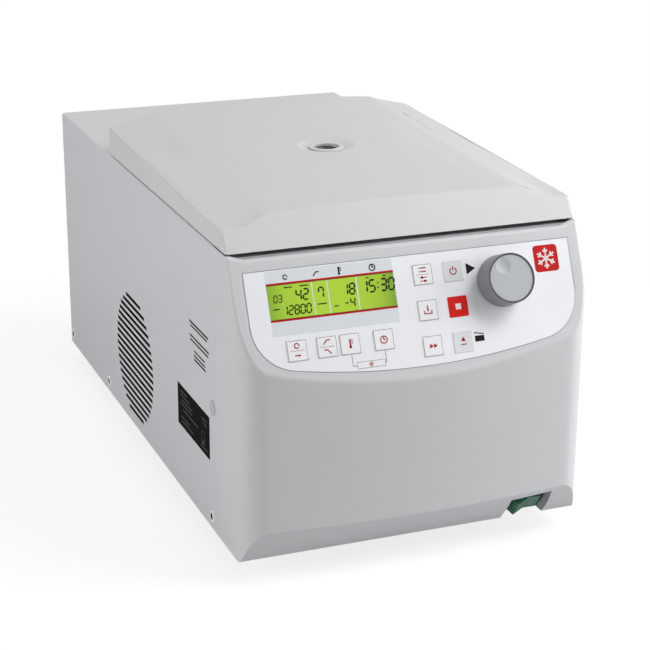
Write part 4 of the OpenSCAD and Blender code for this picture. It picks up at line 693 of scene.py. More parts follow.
def buildCrown(upperAt, low, high, look):
    # Even skin over the lid's upper side, which carries the soft panel border
    sightLow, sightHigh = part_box("lid_window")
    eye = (sightLow + sightHigh) / 2
    front, rear = low.y + look["frontInset"], high.y - look["sideInset"]
    wide, long = 2 * (high.x - look["sideInset"]), rear - front
    columns, rows = round(wide / look["grid"]), round(long / look["grid"])
    mesh = bmesh.new()
    place = Matrix.Translation((0, (front + rear) / 2, 0)) @ Matrix.Diagonal((wide, long, 1, 1))
    bmesh.ops.create_grid(mesh, x_segments=columns, y_segments=rows, size=0.5, matrix=place)

    def heightNear(x, y):
        # Steep slivers of the moulding are bridged by the height around them
        height = upperAt(x, y)
        if height is not None:
            return height
        found = [value for value in heightsAround(upperAt, x, y, look["bridge"]) if value is not None]
        return sum(found) / len(found) if len(found) > 1 else None

    bare = []
    for vert in mesh.verts:
        height = heightNear(vert.co.x, vert.co.y)
        if height is None or (vert.co - eye).xy.length < look["dish"]:
            bare.append(vert)
        else:
            vert.co.z = height + panelLift(vert.co.x, vert.co.y, look)
    bmesh.ops.delete(mesh, geom=bare, context="VERTS")
    bmesh.ops.holes_fill(mesh, edges=mesh.edges, sides=look["gapSides"])
    inner = [vert for vert in mesh.verts if not vert.is_boundary]
    for turn in range(look["smooth"]):
        bmesh.ops.smooth_vert(mesh, verts=inner, factor=0.5, use_axis_z=True)
    faceUp(mesh)
    bmesh.ops.solidify(mesh, geom=mesh.faces[:], thickness=look["skin"])
    bmesh.ops.recalc_face_normals(mesh, faces=mesh.faces)
    top = max(vert.co.z for vert in mesh.verts)
    bmesh.ops.translate(mesh, verts=mesh.verts, vec=(0, 0, look["proud"]))
    tree = BVHTree.FromBMesh(mesh)
    makePiece("lidCrown", mesh, [finishes["lid_moulding"]], "lid")
    print("crown laid up to", round(top, 4))
    return tree


buildLid(lidLook)


# Sight glass: clear domed lens over a bore whose wall below its pale collar takes painted shade
sightLook = {
    "collar": 0.0024, "rimEdge": 0.0006, "rimAngle": 40, "rimSteps": 3, "touch": 0.0001,
    "dome": 0.0009, "domeSteps": 8, "edge": 0.0003, "steps": 48, "weld": 0.000002,
}


def buildSight(look):
    low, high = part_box("lid_window")
    middle = (low + high) / 2
    radius = (high.x - low.x) / 2
    mesh = mergedCopy("window_bezel")
    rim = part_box("window_bezel")[1].z
    shelf = Vector((0, 0, high.z - look["collar"]))
    cutThrough(mesh, shelf, Vector((0, 0, 1)))
    # Below the collar the bore's faces take painted shade
    for face in mesh.faces:
        centre = face.calc_center_median()
        inside = math.hypot(centre.x - middle.x, centre.y - middle.y) < radius
        face.material_index = 1 if inside and centre.z < shelf.z else 0

    def topRim(place, edge):
        return place.z > rim - look["touch"]

    roundEdges(mesh, look["rimEdge"], topRim, look["rimAngle"], look["rimSteps"])
    materials = [finishes["lid_moulding"], inks["paintedShade"]]
    makePiece("sightBezel", mesh, materials, "lid", ["window_bezel"])

    # Outline of the lens, from the axis at its back to the axis at its front
    lens = bmesh.new()
    outline = [(0, low.z), (radius - look["edge"], low.z), (radius, low.z + look["edge"]),
               (radius, high.z - look["dome"])]
    ballRadius = (radius ** 2 + look["dome"] ** 2) / (2 * look["dome"])
    spread = math.asin(radius / ballRadius)
    for part in range(look["domeSteps"] - 1, -1, -1):
        lean = spread * part / look["domeSteps"]
        outline.append((ballRadius * math.sin(lean), high.z - ballRadius * (1 - math.cos(lean))))
    spinOutline(lens, outline, middle, look["steps"], look["weld"])
    makePiece("sightLens", lens, [finishes["window_clear"]], "lid", ["lid_window"])
    print("sight glass seated")


buildSight(sightLook)


# Front moulding: soft top edge under the lid, soft fold below the fascia, closed seam to the cover
frontLook = {
    "topEdge": 0.0024, "topAngle": 30, "topSteps": 5, "fold": 0.0017, "foldAngle": 8, "foldSteps": 4,
    "foldBelow": 0.012, "flat": 0.00003, "touch": 0.0005, "wallFacing": 0.05, "endFacing": 0.999,
    "seam": 0.0006, "seamLeft": 0.00006, "seamSnap": 0.00002, "sharp": 22,
}


def buildFront(look):
    mesh = mergedCopy("front_panel", flat=math.radians(0.02))
    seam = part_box("housing_cover")[0].y
    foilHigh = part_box("panel_foil")[1]
    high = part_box("front_panel")[1]

    def onPlane(edge):
        return all(abs((vert.co - fasciaDatum).dot(outward)) < look["flat"] for vert in edge.verts)

    def topEdge(middle, edge):
        return onPlane(edge) and (middle - fasciaDatum).dot(uphill) > fascia["datumRow"] - look["touch"]

    def holeWall(face):
        return face.normal.dot(outward) < look["wallFacing"] and abs(face.normal.x) < look["endFacing"]

    def foldEdge(middle, edge):
        inHole = any(holeWall(face) for face in edge.link_faces)
        outer = abs(middle.x) > foilHigh.x + look["touch"] or not inHole
        return onPlane(edge) and outer and middle.z < high.z - look["foldBelow"]

    count = roundEdges(mesh, look["topEdge"], topEdge, look["topAngle"], look["topSteps"])
    count += roundEdges(mesh, look["fold"], foldEdge, look["foldAngle"], look["foldSteps"])
    for vert in mesh.verts:
        if abs(vert.co.y - (seam - look["seam"])) < look["seamSnap"]:
            vert.co.y = seam - look["seamLeft"]
    makePiece("frontSkin", mesh, [finishes["front_moulding"]], "chassis", ["front_panel"],
              look["sharp"])
    print("front rounded along", count, "edges")


buildFront(frontLook)


# Cover: bent sheet with soft upper bends, and a grille whose slot walls take painted shade
coverLook = {
    "bend": 0.0022, "angle": 30, "steps": 4, "long": 0.01, "touch": 0.0003, "grille": 0.0600, "edgeOn": 0.2,
    # Flange of the base pan: depth behind the cover's face, and height from which it takes painted shade
    "flange": 0.006, "flangeFrom": 0.0195,
}


def buildCover(look):
    low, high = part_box("housing_cover")
    mesh = mergedCopy("housing_cover")

    def upperBend(middle, edge):
        along = abs(edge.verts[0].co.y - edge.verts[1].co.y) > look["long"]
        onSide = abs(abs(middle.x) - high.x) < look["touch"]
        return along and onSide and middle.z > high.z - look["touch"]

    grilleLow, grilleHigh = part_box("fan_frame")
    grille = (grilleLow + grilleHigh) / 2
    # Slot walls of the grille take painted shade
    for face in mesh.faces:
        middle = face.calc_center_median()
        inGrille = math.hypot(middle.y - grille.y, middle.z - grille.z) < look["grille"] and middle.x < 0
        face.material_index = 1 if inGrille and abs(face.normal.x) < look["edgeOn"] else 0
    count = roundEdges(mesh, look["bend"], upperBend, look["angle"], look["steps"])
    materials = [finishes["housing_enamel"], inks["paintedShade"]]
    makePiece("coverSkin", mesh, materials, "chassis", ["housing_cover"])

    # Base pan, with painted shade on the flange behind the grille
    pan = mergedCopy("base_pan")
    for place in (grille.y - look["grille"], grille.y + look["grille"]):
        cutThrough(pan, Vector((0, place, 0)), Vector((0, 1, 0)))
    for face in pan.faces:
        middle = face.calc_center_median()
        onFlange = middle.x < low.x + look["flange"] and middle.z > look["flangeFrom"]
        face.material_index = 1 if onFlange and abs(middle.y - grille.y) < look["grille"] else 0
    materials = [finishes["sheet_steel"], inks["paintedShade"]]
    makePiece("basePan", pan, materials, "chassis", ["base_pan"])
    print("cover bent along", count, "edges")


buildCover(coverLook)


# Operating foil with a thin line of painted shade along its edge, drawn close round the keys
foilLook = {
    "rim": 0.00032, "keyHalf": 0.0078, "keyGap": 0.0003, "keyGapLeft": 0.00005, "facing": 0.99,
    # How near to a key, the knob or the display the foil's edge bears no painted shade line
    "nearKey": 0.0128, "nearKnob": 0.02, "nearDisplay": 0.002,
}


def buildFoil(look):
    mesh = mergedCopy("panel_foil")
    shrink = 1 - (look["keyGap"] - look["keyGapLeft"]) / (look["keyHalf"] + look["keyGap"])
    reach = look["keyHalf"] + 2 * look["keyGap"]
    for centre in keyPlaces.values():
        hole = [vert for vert in mesh.verts if abs(vert.co.x - centre.x) < reach
                and abs((vert.co - centre).dot(uphill)) < reach]
        bmesh.ops.scale(mesh, vec=(shrink, shrink, shrink), space=Matrix.Translation(-centre), verts=hole)
    tops = [face for face in mesh.faces if face.normal.dot(outward) > look["facing"]]
    rim = bmesh.ops.inset_region(mesh, faces=tops, thickness=look["rim"], use_even_offset=True)["faces"]
    knobPlace = Vector(joints["knob_turn"]["pos_m"])
    lcdLow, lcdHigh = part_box("display_window")
    margin = look["nearDisplay"]

    def nearDisplay(place):
        level = lcdLow.z - margin < place.z < lcdHigh.z + margin
        return level and lcdLow.x - margin < place.x < lcdHigh.x + margin

    # The inset ring takes painted shade, except near the keys, the knob and the display
    for face in rim:
        middle = face.calc_center_median()
        nearKey = any((middle - centre).length < look["nearKey"] for centre in keyPlaces.values())
        nearKnob = (middle - knobPlace).length < look["nearKnob"]
        face.material_index = 0 if nearKey or nearKnob or nearDisplay(middle) else 1
    materials = [finishes["foil_white"], inks["rim"]]
    makePiece("operatingFoil", mesh, materials, "chassis", ["panel_foil"])
    print("foil rimmed")


buildFoil(foilLook)


# Keys: soft caps, seven of them with a printed outline
keyLook = {"edge": 0.0002, "angle": 40, "steps": 3, "line": 0.00034, "flat": 0.00002, "facing": 0.999}
plainKeys = ("start_key", "stop_key", "lid_open_key")


def buildKey(keyName, look):
    mesh = mergedCopy(keyName)
    reach = max(vert.co.dot(outward) for vert in mesh.verts)

    def onTop(place, edge=None):
        return place.dot(outward) > reach - look["flat"]

    roundEdges(mesh, look["edge"], onTop, look["angle"], look["steps"])
    tops = [face for face in mesh.faces if face.normal.dot(outward) > look["facing"]
            and onTop(face.calc_center_median())]
    top = max(tops, key=lambda face: face.calc_area())
    materials = [finishes[slotOf[keyName]]]
    if keyName not in plainKeys:
        line = bmesh.ops.inset_individual(mesh, faces=[top], thickness=look["line"], use_even_offset=True)
        for face in line["faces"]:
            face.material_index = 1
        materials.append(inks["line"])
    makePiece(keyName + "Cap", mesh, materials, keyName, [keyName])


for keyName in keyNames:
    buildKey(keyName, keyLook)
print("keys capped:", len(keyNames))


# Knob: dark rounded rim, paler turned face with a shallow finger dimple
knobLook = {
    "edge": 0.0004, "angle": 35, "steps": 3, "rimDepth": 0.0016, "facing": 0.3, "faceDepth": 0.006,
    "faceRadius": 0.0176, "faceSink": 0.0006, "flat": 0.00002, "dimpleFill": 0.45,
}


def buildKnob(look):
    mesh = mergedCopy("control_knob", flat=math.radians(0.02))
    hub = Vector(joints["knob_turn"]["pos_m"])
    reach = max(vert.co.dot(outward) for vert in mesh.verts)

    def frontRim(middle, edge):
        return middle.dot(outward) > reach - look["rimDepth"]

    for face in mesh.faces:
        middle = face.calc_center_median() - hub
        height = face.calc_center_median().dot(outward)
        radius = (middle - outward * middle.dot(outward)).length
        face.material_index = 0
        if face.normal.dot(outward) > look["facing"] and height > reach - look["faceDepth"]:
            face.material_index = 1 if radius < look["faceRadius"] else 2
    for vert in mesh.verts:
        depth = reach - look["faceSink"] - vert.co.dot(outward)
        if depth > look["flat"] and all(face.material_index == 1 for face in vert.link_faces):
            vert.co += outward * depth * look["dimpleFill"]
    roundEdges(mesh, look["edge"], frontRim, look["angle"], look["steps"])
    materials = [finishes["knob_grey"], inks["face"], inks["knobRim"]]
    makePiece("knobCap", mesh, materials, "knob", ["control_knob"])
    print("knob turned")


buildKnob(knobLook)


# Rocker: rounded glossy cap
rockerLook = {"edge": 0.0005, "angle": 40, "steps": 3}


def buildRocker(look):
    mesh = mergedCopy("power_rocker")
    roundEdges(mesh, look["edge"], everywhere, look["angle"], look["steps"])
    makePiece("rockerCap", mesh, [finishes["rocker_green"]], "power_rocker",
              ["power_rocker"])
    print("rocker rounded")


buildRocker(rockerLook)


# Display: pale zone, red bars, separators and plain seven-segment numbers
displayLook = {
    "across": -0.0654, "row": 0.0329, "wide": 0.0994, "tall": 0.0249, "windowLift": 0.0002,
    "zoneTop": 0.0101, "zoneLow": 0.0575, "bar": 0.0016, "barEdge": 0.0008,
    "separators": (0.35, 0.47, 0.70), "separatorWide": 0.0009, "separatorTall": 0.97, "telltale": 0.0009,
    # Digits as shares of their height, then the segments' ends as shares of their stroke
    "slant": 0.09, "stroke": 0.17, "digitWide": 0.5, "digitStep": 0.72,
    "colonStep": 0.35, "colonRise": 0.2, "colonDot": 0.075, "endGap": 0.35, "endPoint": 0.42,
}
segmentPlaces = {"a": (0.5, 1, 0), "b": (1, 0.75, 1), "c": (1, 0.25, 1), "d": (0.5, 0, 0),
                 "e": (0, 0.25, 1), "f": (0, 0.75, 1), "g": (0.5, 0.5, 0)}
digitSegments = {"0": "abcdef", "1": "bc", "2": "abged", "3": "abgcd", "4": "fgbc", "5": "afgcd",
                 "6": "afgedc", "7": "abcf", "8": "abcdefg", "9": "abcdfg", "-": "g"}
# Numbers shown: share across, share down, height, digits
readouts = [
    (0.268, 0.341, 0.0076, "42"), (0.077, 0.400, 0.0050, "03"), (0.213, 0.761, 0.0064, "12800"),
    (0.414, 0.351, 0.0074, "7"), (0.632, 0.345, 0.0077, "18"), (0.628, 0.745, 0.0064, "-4"),
    (0.866, 0.333, 0.0086, "15:30"),
]
# Small tell-tale bars: share across, share down, width
telltales = [(0.166, 0.09, 0.0066), (0.290, 0.09, 0.0070), (0.055, 0.70, 0.0050), (0.412, 0.68, 0.0072),
             (0.520, 0.80, 0.0034), (0.790, 0.08, 0.0022), (0.925, 0.07, 0.0024)]


def drawDigit(mesh, digit, x, y, height, look):
    wide, stroke = height * look["digitWide"], height * look["stroke"]
    made = []
    for segment in digitSegments[digit]:
        across, up, upright = segmentPlaces[segment]
        length = (height / 2 if upright else wide) - stroke * look["endGap"]
        corners = drawBar(mesh, x + (across - 0.5) * wide, y + (up - 0.5) * height, length, stroke,
                          math.pi / 2 if upright else 0)
        made += bmesh.ops.bevel(mesh, geom=corners, offset=stroke * look["endPoint"], segments=1,
                                profile=0.5, affect="VERTICES", clamp_overlap=False, material=-1)["verts"]
    for vert in set(made):
        vert.co.x += (vert.co.y - y) * look["slant"]


def drawReadouts(mesh, look):
    for across, down, height, digits in readouts:
        x = (across - 0.5) * look["wide"]
        y = (0.5 - down) * look["tall"]
        steps = [look["colonStep"] if sign == ":" else look["digitStep"] for sign in digits]
        cursor = x - sum(steps) * height / 2
        for sign, step in zip(digits, steps):
            middle = cursor + step * height / 2
            if sign == ":":
                for lift in (-look["colonRise"] * height, look["colonRise"] * height):
                    drawDisc(mesh, middle + lift * look["slant"], y + lift, height * look["colonDot"], 10)
            else:
                drawDigit(mesh, sign, middle, y, height, look)
            cursor += step * height
    for across, down, wide in telltales:
        drawBar(mesh, (across - 0.5) * look["wide"], (0.5 - down) * look["tall"], wide, look["telltale"])


def buildDisplay(look):
    foilTop = fascia["foilLift"]
    middle = onFascia(look["across"], look["row"], foilTop)
    upper = look["row"] - look["tall"] / 2
    lower = look["row"] + look["tall"] / 2

    def drawZone(mesh):
        drawBar(mesh, 0, look["row"] - (look["zoneTop"] + upper) / 2, look["wide"], upper - look["zoneTop"])
        drawBar(mesh, 0, look["row"] - (look["zoneLow"] + lower) / 2, look["wide"], look["zoneLow"] - lower)

    def drawBars(mesh):
        for sign in (1, -1):
            drawBar(mesh, 0, sign * (look["tall"] + look["bar"]) / 2, look["wide"], look["bar"])

    def drawBarEdges(mesh):
        for sign in (1, -1):
            drawBar(mesh, 0, sign * (look["tall"] + look["barEdge"]) / 2, look["wide"], look["barEdge"])

    def drawSeparators(mesh):
        tall = look["tall"] * look["separatorTall"]
        for share in look["separators"]:
            drawBar(mesh, (share - 0.5) * look["wide"], 0, look["separatorWide"], tall)

    def drawNumbers(mesh):
        drawReadouts(mesh, look)

    printPiece("displayZone", drawZone, middle, inks["zone"], "chassis")
    raised = onFascia(look["across"], look["row"], foilTop + inkThick)
    printPiece("displayBars", drawBars, raised, inks["red"], "chassis")
    raised = onFascia(look["across"], look["row"], foilTop + 2 * inkThick)
    printPiece("displayBarEdges", drawBarEdges, raised, inks["deepRed"], "chassis")
    glass = onFascia(look["across"], look["row"], look["windowLift"])
    printPiece("displaySeparators", drawSeparators, glass, inks["zone"], "chassis")
    printPiece("displayNumbers", drawNumbers, glass, inks["segment"], "chassis")
    print("display printed with", len(readouts), "numbers")


buildDisplay(displayLook)


# Key signs, each drawn about x, y in shares of its size
signLook = {"stroke": 0.0009, "size": 0.0042, "keyTall": 0.0154, "rule": 0.0108, "ruleWide": 0.00032}


def signTurn(mesh, x, y, size, stroke):
    drawArc(mesh, x, y, size * 0.42, stroke, math.radians(40), math.radians(285))
    drawArrowHead(mesh, x + size * 0.42, y + size * 0.1, size * 0.22, math.radians(75))


def signForce(mesh, x, y, size, stroke):
    drawStroke(mesh, x - size * 0.5, y, x + size * 0.2, y, stroke)
    drawArrowHead(mesh, x + size * 0.36, y, size * 0.26, 0)


def signClimb(mesh, x, y, size, stroke):
    drawStroke(mesh, x - size * 0.6, y - size * 0.35, x, y + size * 0.35, stroke)
    drawStroke(mesh, x, y + size * 0.35, x + size * 0.6, y + size * 0.35, stroke)


def signFall(mesh, x, y, size, stroke):
    drawStroke(mesh, x - size * 0.6, y + size * 0.35, x, y + size * 0.35, stroke)
    drawStroke(mesh, x, y + size * 0.35, x + size * 0.6, y - size * 0.35, stroke)


def signThermometer(mesh, x, y, size, stroke):
    drawDisc(mesh, x, y - size * 0.5, size * 0.26)
    drawStroke(mesh, x, y - size * 0.4, x, y + size * 0.75, stroke * 1.5)
    for lift in (0.1, 0.4, 0.7):
        drawStroke(mesh, x + size * 0.28, y + size * lift, x + size * 0.5, y + size * lift, stroke * 0.7)


def signClock(mesh, x, y, size, stroke):
    drawArc(mesh, x, y, size * 0.62, stroke, 0, 2 * math.pi, 32)
    drawStroke(mesh, x, y, x, y + size * 0.4, stroke)
    drawStroke(mesh, x, y, x + size * 0.3, y, stroke)


def signList(mesh, x, y, size, stroke):
    for lift in (-0.32, 0.32):
        drawDisc(mesh, x - size * 0.55, y + lift * size, stroke * 0.65, 14)
        drawStroke(mesh, x - size * 0.25, y + lift * size, x + size * 0.65, y + lift * size, stroke)


def signSliders(mesh, x, y, size, stroke):
    for lift, shift in ((-0.32, 0.25), (0.32, -0.2)):
        drawStroke(mesh, x - size * 0.65, y + lift * size, x + size * 0.65, y + lift * size, stroke * 0.7)
        drawDisc(mesh, x + shift * size, y + lift * size, stroke * 1.1, 16)


def signStore(mesh, x, y, size, stroke):
    drawStroke(mesh, x, y + size * 0.8, x, y + size * 0.1, stroke)
    drawArrowHead(mesh, x, y - size * 0.02, size * 0.3, math.radians(-90))
    drawStroke(mesh, x - size * 0.7, y - size * 0.1, x - size * 0.7, y - size * 0.6, stroke)
    drawStroke(mesh, x + size * 0.7, y - size * 0.1, x + size * 0.7, y - size * 0.6, stroke)
    drawStroke(mesh, x - size * 0.7, y - size * 0.6, x + size * 0.7, y - size * 0.6, stroke)


def signQuick(mesh, x, y, size, stroke):
    for shift in (-0.38, 0.38):
        drawArrowHead(mesh, x + shift * size, y, size * 0.5, 0)


def signBarOn(mesh, x, y, size, stroke):
    drawArc(mesh, x, y, size * 0.6, stroke, math.radians(125), math.radians(290), 28)
    drawStroke(mesh, x, y + size * 0.15, x, y + size * 0.8, stroke)


def signSquare(mesh, x, y, size, stroke):
    drawBar(mesh, x, y, size * 1.05, size * 1.05)


def signOpen(mesh, x, y, size, stroke):
    drawArrowHead(mesh, x, y + size * 0.42, size * 0.55, math.radians(90))
    drawBar(mesh, x, y - size * 0.42, size * 1.1, stroke)


def signSnow(mesh, x, y, size, stroke):
    for arm in range(3):
        turn = math.radians(60 * arm + 30)
        reach = Vector((math.cos(turn), math.sin(turn))) * size
        drawStroke(mesh, x - reach.x, y - reach.y, x + reach.x, y + reach.y, stroke)
        for end in (-1, 1):
            for side in (-1, 1):
                tip = math.radians(60 * arm + 30 + side * 38)
                root = reach * end * 0.52
                branch = root + Vector((math.cos(tip), math.sin(tip))) * size * end * 0.38
                drawStroke(mesh, x + root.x, y + root.y, x + branch.x, y + branch.y, stroke * 0.8)


# Signs on each key: sign, height above the key's middle as a share of the key
keySigns = {
    "speed_key": [(signTurn, 0.23), (signForce, -0.23)],
    "ramp_key": [(signClimb, 0.23), (signFall, -0.23)],
    "temperature_key": [(signThermometer, 0)],
    "time_key": [(signClock, 0)],
    "program_key": [(signList, 0.23), (signSliders, -0.23)],
    "store_key": [(signStore, 0)],
    "quick_spin_key": [(signQuick, 0)],
    "start_key": [(signBarOn, 0)],
    "stop_key": [(signSquare, 0)],
    "lid_open_key": [(signOpen, 0)],
}


def buildKeySigns(look):
    for keyName, signs in keySigns.items():
        place = keyPlaces[keyName]

        def draw(mesh, signs=signs):
            for sign, lift in signs:
                sign(mesh, 0, lift * look["keyTall"], look["size"], look["stroke"])
            if len(signs) == 2:
                drawBar(mesh, 0, 0, look["rule"], look["ruleWide"])

        ground = onFascia(place.x, rowOf(place), fascia["keyLift"])
        ink = inks["white"] if keyName == "stop_key" else inks["sign"]
        printPiece(keyName + "Sign", draw, ground, ink, keyName)
    print("key signs printed:", len(keySigns))


buildKeySigns(signLook)


# Marks printed on the foil beside the keys and over the display
foilMarks = {
    # Places are across and row; the box's open lid is in shares of its width and height
    "triangle": (0.0459, 0.0243, 0.0050),
    "box": (0.0462, 0.0772), "boxWide": 0.0076, "boxTall": 0.0044,
    "lidFrom": (-0.52, 1.05), "lidTo": (0.46, 0.72), "lidStroke": 0.0008,
    "coolBox": (-0.0430, 0.0856), "coolWide": 0.0225, "coolTall": 0.0050, "line": 0.0004,
    "coolSign": 0.0019, "coolStroke": 0.0004, "keyEdge": 0.0080,
    "badge": (0.1109, 0.0232), "badgeSide": 0.0205, "badgeCorner": 0.0028, "badgeSteps": 6,
    "badgeSign": 0.37, "badgeStroke": 0.0013,
    "overDisplay": ((0.155, signTurn), (0.395, signClimb), (0.575, signThermometer), (0.840, signClock)),
    "overRow": 0.0152, "overSize": 0.0037, "overStroke": 0.0009,
}


def buildFoilMarks(look):
    ground = onFascia(0, 0, fascia["foilLift"])
    raised = onFascia(0, 0, fascia["foilLift"] + inkThick)

    def drawBlack(mesh):
        across, row, size = look["triangle"]
        drawArrowHead(mesh, across, -row, size, 0)
        across, row = look["box"]
        wide, tall = look["boxWide"], look["boxTall"]
        drawBar(mesh, across, -row, wide, tall)
        ends = [(across + wide * x, -row + tall * y) for x, y in (look["lidFrom"], look["lidTo"])]
        drawStroke(mesh, *ends[0], *ends[1], look["lidStroke"])
        for share, sign in look["overDisplay"]:
            x = displayLook["across"] + (share - 0.5) * displayLook["wide"]
            sign(mesh, x, -look["overRow"], look["overSize"], look["overStroke"])

    def drawCool(mesh):
        # Frame with a line from either end to the key above it
        across, row = look["coolBox"]
        half = look["coolWide"] / 2
        drawFrame(mesh, across, -row, look["coolWide"], look["coolTall"], look["line"])
        for keyName, side in (("temperature_key", -1), ("time_key", 1)):
            place = keyPlaces[keyName]
            keyRow = rowOf(place) + look["keyEdge"]
            drawBar(mesh, place.x, -(keyRow + row) / 2, look["line"], row - keyRow)
            reach = across + side * half
            drawBar(mesh, (place.x + reach) / 2, -row, abs(place.x - reach), look["line"])

    def drawCoolSign(mesh):
        across, row = look["coolBox"]
        signSnow(mesh, across, -row, look["coolSign"], look["coolStroke"])

    def drawBadge(mesh):
        across, row = look["badge"]
        corners = drawBar(mesh, across, -row, look["badgeSide"], look["badgeSide"])
        bmesh.ops.bevel(mesh, geom=corners, offset=look["badgeCorner"], segments=look["badgeSteps"],
                        profile=0.5, affect="VERTICES", clamp_overlap=False, material=-1)

    def drawBadgeSign(mesh):
        across, row = look["badge"]
        signSnow(mesh, across, -row, look["badgeSide"] * look["badgeSign"], look["badgeStroke"])

    printPiece("foilMarks", drawBlack, raised, inks["black"], "chassis")
    printPiece("coolFrame", drawCool, ground, inks["line"], "chassis")
    printPiece("coolSign", drawCoolSign, ground, inks["red"], "chassis")
    printPiece("coldBadge", drawBadge, ground, inks["red"], "chassis")
    printPiece("coldBadgeSign", drawBadgeSign, raised, inks["white"], "chassis")
    print("foil marks printed")


buildFoilMarks(foilMarks)


# Left side: plain printed bars, and the fine lines of the rating plate
sideLook = {
    # Bars: front end, rear end, height, thickness
    "bars": [(-0.1830, -0.1352, 0.1733, 0.0018), (-0.1802, -0.1378, 0.1703, 0.0015),
             (-0.1846, -0.1360, 0.1621, 0.0016), (-0.1830, -0.1370, 0.1586, 0.0016),
             (-0.1740, -0.1468, 0.1514, 0.0015), (-0.1748, -0.1460, 0.1478, 0.0015),
             (-0.1756, -0.1468, 0.1447, 0.0017)],
    # Lines on the plate: share across, share up, length as a share of the longest line
    "plateRows": [(-0.30, 0.36, 0.26), (-0.26, 0.26, 0.36), (-0.20, 0.16, 0.42), (-0.22, 0.06, 0.44),
                  (-0.10, -0.06, 0.60), (-0.26, -0.26, 0.34), (-0.20, -0.36, 0.46),
                  (0.34, 0.30, 0.18), (0.36, 0.20, 0.14), (0.32, -0.38, 0.24)],
    "longest": 0.8, "line": 0.0007,
    # Square and short bar at the plate's right: share across, share up, then sizes
    "square": (0.30, -0.12), "squareSide": 0.0075, "squareLine": 0.0005,
    "dash": (0.30, -0.28), "dashWide": 0.0070, "dashTall": 0.0012,
}


def onLeftSide(y, z, lift):
    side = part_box("housing_cover")[0].x
    turned = Matrix((Vector((0, -1, 0)), Vector((0, 0, 1)), Vector((-1, 0, 0)))).transposed().to_4x4()
    return Matrix.Translation((side - lift + fascia["sink"], y, z)) @ turned


def buildSidePrints(look):
    def drawSideBars(mesh):
        for front, rear, height, thick in look["bars"]:
            drawBar(mesh, -(front + rear) / 2, height, rear - front, thick)

    printPiece("sideBars", drawSideBars, onLeftSide(0, 0, 0), inks["black"], "chassis")

    low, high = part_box("rating_plate")
    middle = (low + high) / 2
    plateWide, plateTall = high.y - low.y, high.z - low.z

    def drawPlateRows(mesh):
        for across, up, length in look["plateRows"]:
            wide = length * plateWide * look["longest"]
            drawBar(mesh, across * plateWide, up * plateTall, wide, look["line"])
        across, up = look["square"]
        drawFrame(mesh, across * plateWide, up * plateTall, look["squareSide"], look["squareSide"],
                  look["squareLine"])
        across, up = look["dash"]
        drawBar(mesh, across * plateWide, up * plateTall, look["dashWide"], look["dashTall"])

    plateFace = onLeftSide(middle.y, middle.z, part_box("housing_cover")[0].x - low.x)
    printPiece("ratingLines", drawPlateRows, plateFace, inks["grey"], "chassis")
    print("side prints laid")


buildSidePrints(sideLook)


# Cover screws: pale cup washers around hexagon sockets that take painted shade
screwLook = {
    "radius": 0.0048, "hole": 0.0029, "dome": 0.0006, "rim": 0.0002, "floor": 0.0001, "depth": 0.0009,
    "shank": 0.0036, "hexagon": 1.1, "steps": 36, "snap": 0.000002,
    # Crest and lip of the cup: shares of its radius or of the hole, with shares of the dome
    "crest": ((0.86, 0.9), (0.66, 1)), "lip": ((1.1, 0.55), (1, 0.5)), "darkBelow": 0.4,
}


def islandBoxes(nodeName):
    # Lowest and highest corner of every separate solid in a node
    mesh = bmesh.new()
    mesh.from_mesh(nodes[nodeName].data)
    bmesh.ops.remove_doubles(mesh, verts=mesh.verts, dist=weldGap)
    waiting, boxes = set(mesh.verts), []
    while waiting:
        island, edgeOfIsland = set(), [waiting.pop()]
        while edgeOfIsland:
            vert = edgeOfIsland.pop()
            island.add(vert)
            near = [edge.other_vert(vert) for edge in vert.link_edges]
            edgeOfIsland += [other for other in near if other in waiting]
            waiting.difference_update(near)
        lows = [min(vert.co[axis] for vert in island) for axis in range(3)]
        highs = [max(vert.co[axis] for vert in island) for axis in range(3)]
        boxes.append((Vector(lows), Vector(highs)))
    mesh.free()
    return sorted(boxes, key=lambda box: tuple(box[0]))


def buildScrews(look):
    radius, hole, dome, rim = look["radius"], look["hole"], look["dome"], look["rim"]
    # Outline from the axis at the back, over the cup washer, into the socket and back to the axis
    outline = [(0, -look["depth"]), (look["shank"], -look["depth"]), (look["shank"], -rim), (radius, -rim),
               (radius, rim)]
    outline += [(radius * share, dome * rise) for share, rise in look["crest"]]
    outline += [(hole * share, dome * rise) for share, rise in look["lip"]]
    outline += [(hole, look["floor"]), (0, look["floor"])]
    one = bmesh.new()
    spinOutline(one, outline, Vector((0, 0, 0)), look["steps"])
    for face in one.faces:
        # Walls and floor of the socket take painted shade
        middle = face.calc_center_median()
        inSocket = middle.xy.length < hole and 0 < middle.z < dome * look["darkBelow"]
        face.material_index = 1 if inSocket else 0
    side = math.pi / 3
    for vert in one.verts:
        if abs(vert.co.xy.length - hole) < look["snap"]:
            # The round hole is drawn to a hexagon
            turn = math.atan2(vert.co.y, vert.co.x) % side - side / 2
            vert.co.xy *= look["hexagon"] * math.cos(side / 2) / math.cos(turn)
    template = bpy.data.meshes.new("screwTemplate")
    one.to_mesh(template)
    one.free()
    mesh = bmesh.new()
    for low, high in islandBoxes("cover_screws"):
        middle = (low + high) / 2
        hand = 1 if middle.x > 0 else -1
        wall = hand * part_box("housing_cover")[1].x
        aim = Matrix.Rotation(hand * math.pi / 2, 4, "Y")
        screw = template.copy()
        screw.transform(Matrix.Translation((wall, middle.y, middle.z)) @ aim)
        mesh.from_mesh(screw)
        bpy.data.meshes.remove(screw)
    bpy.data.meshes.remove(template)
    materials = [inks["washer"], inks["paintedShade"]]
    makePiece("coverScrewSet", mesh, materials, "chassis", ["cover_screws"])
    print("screws seated")


buildScrews(screwLook)


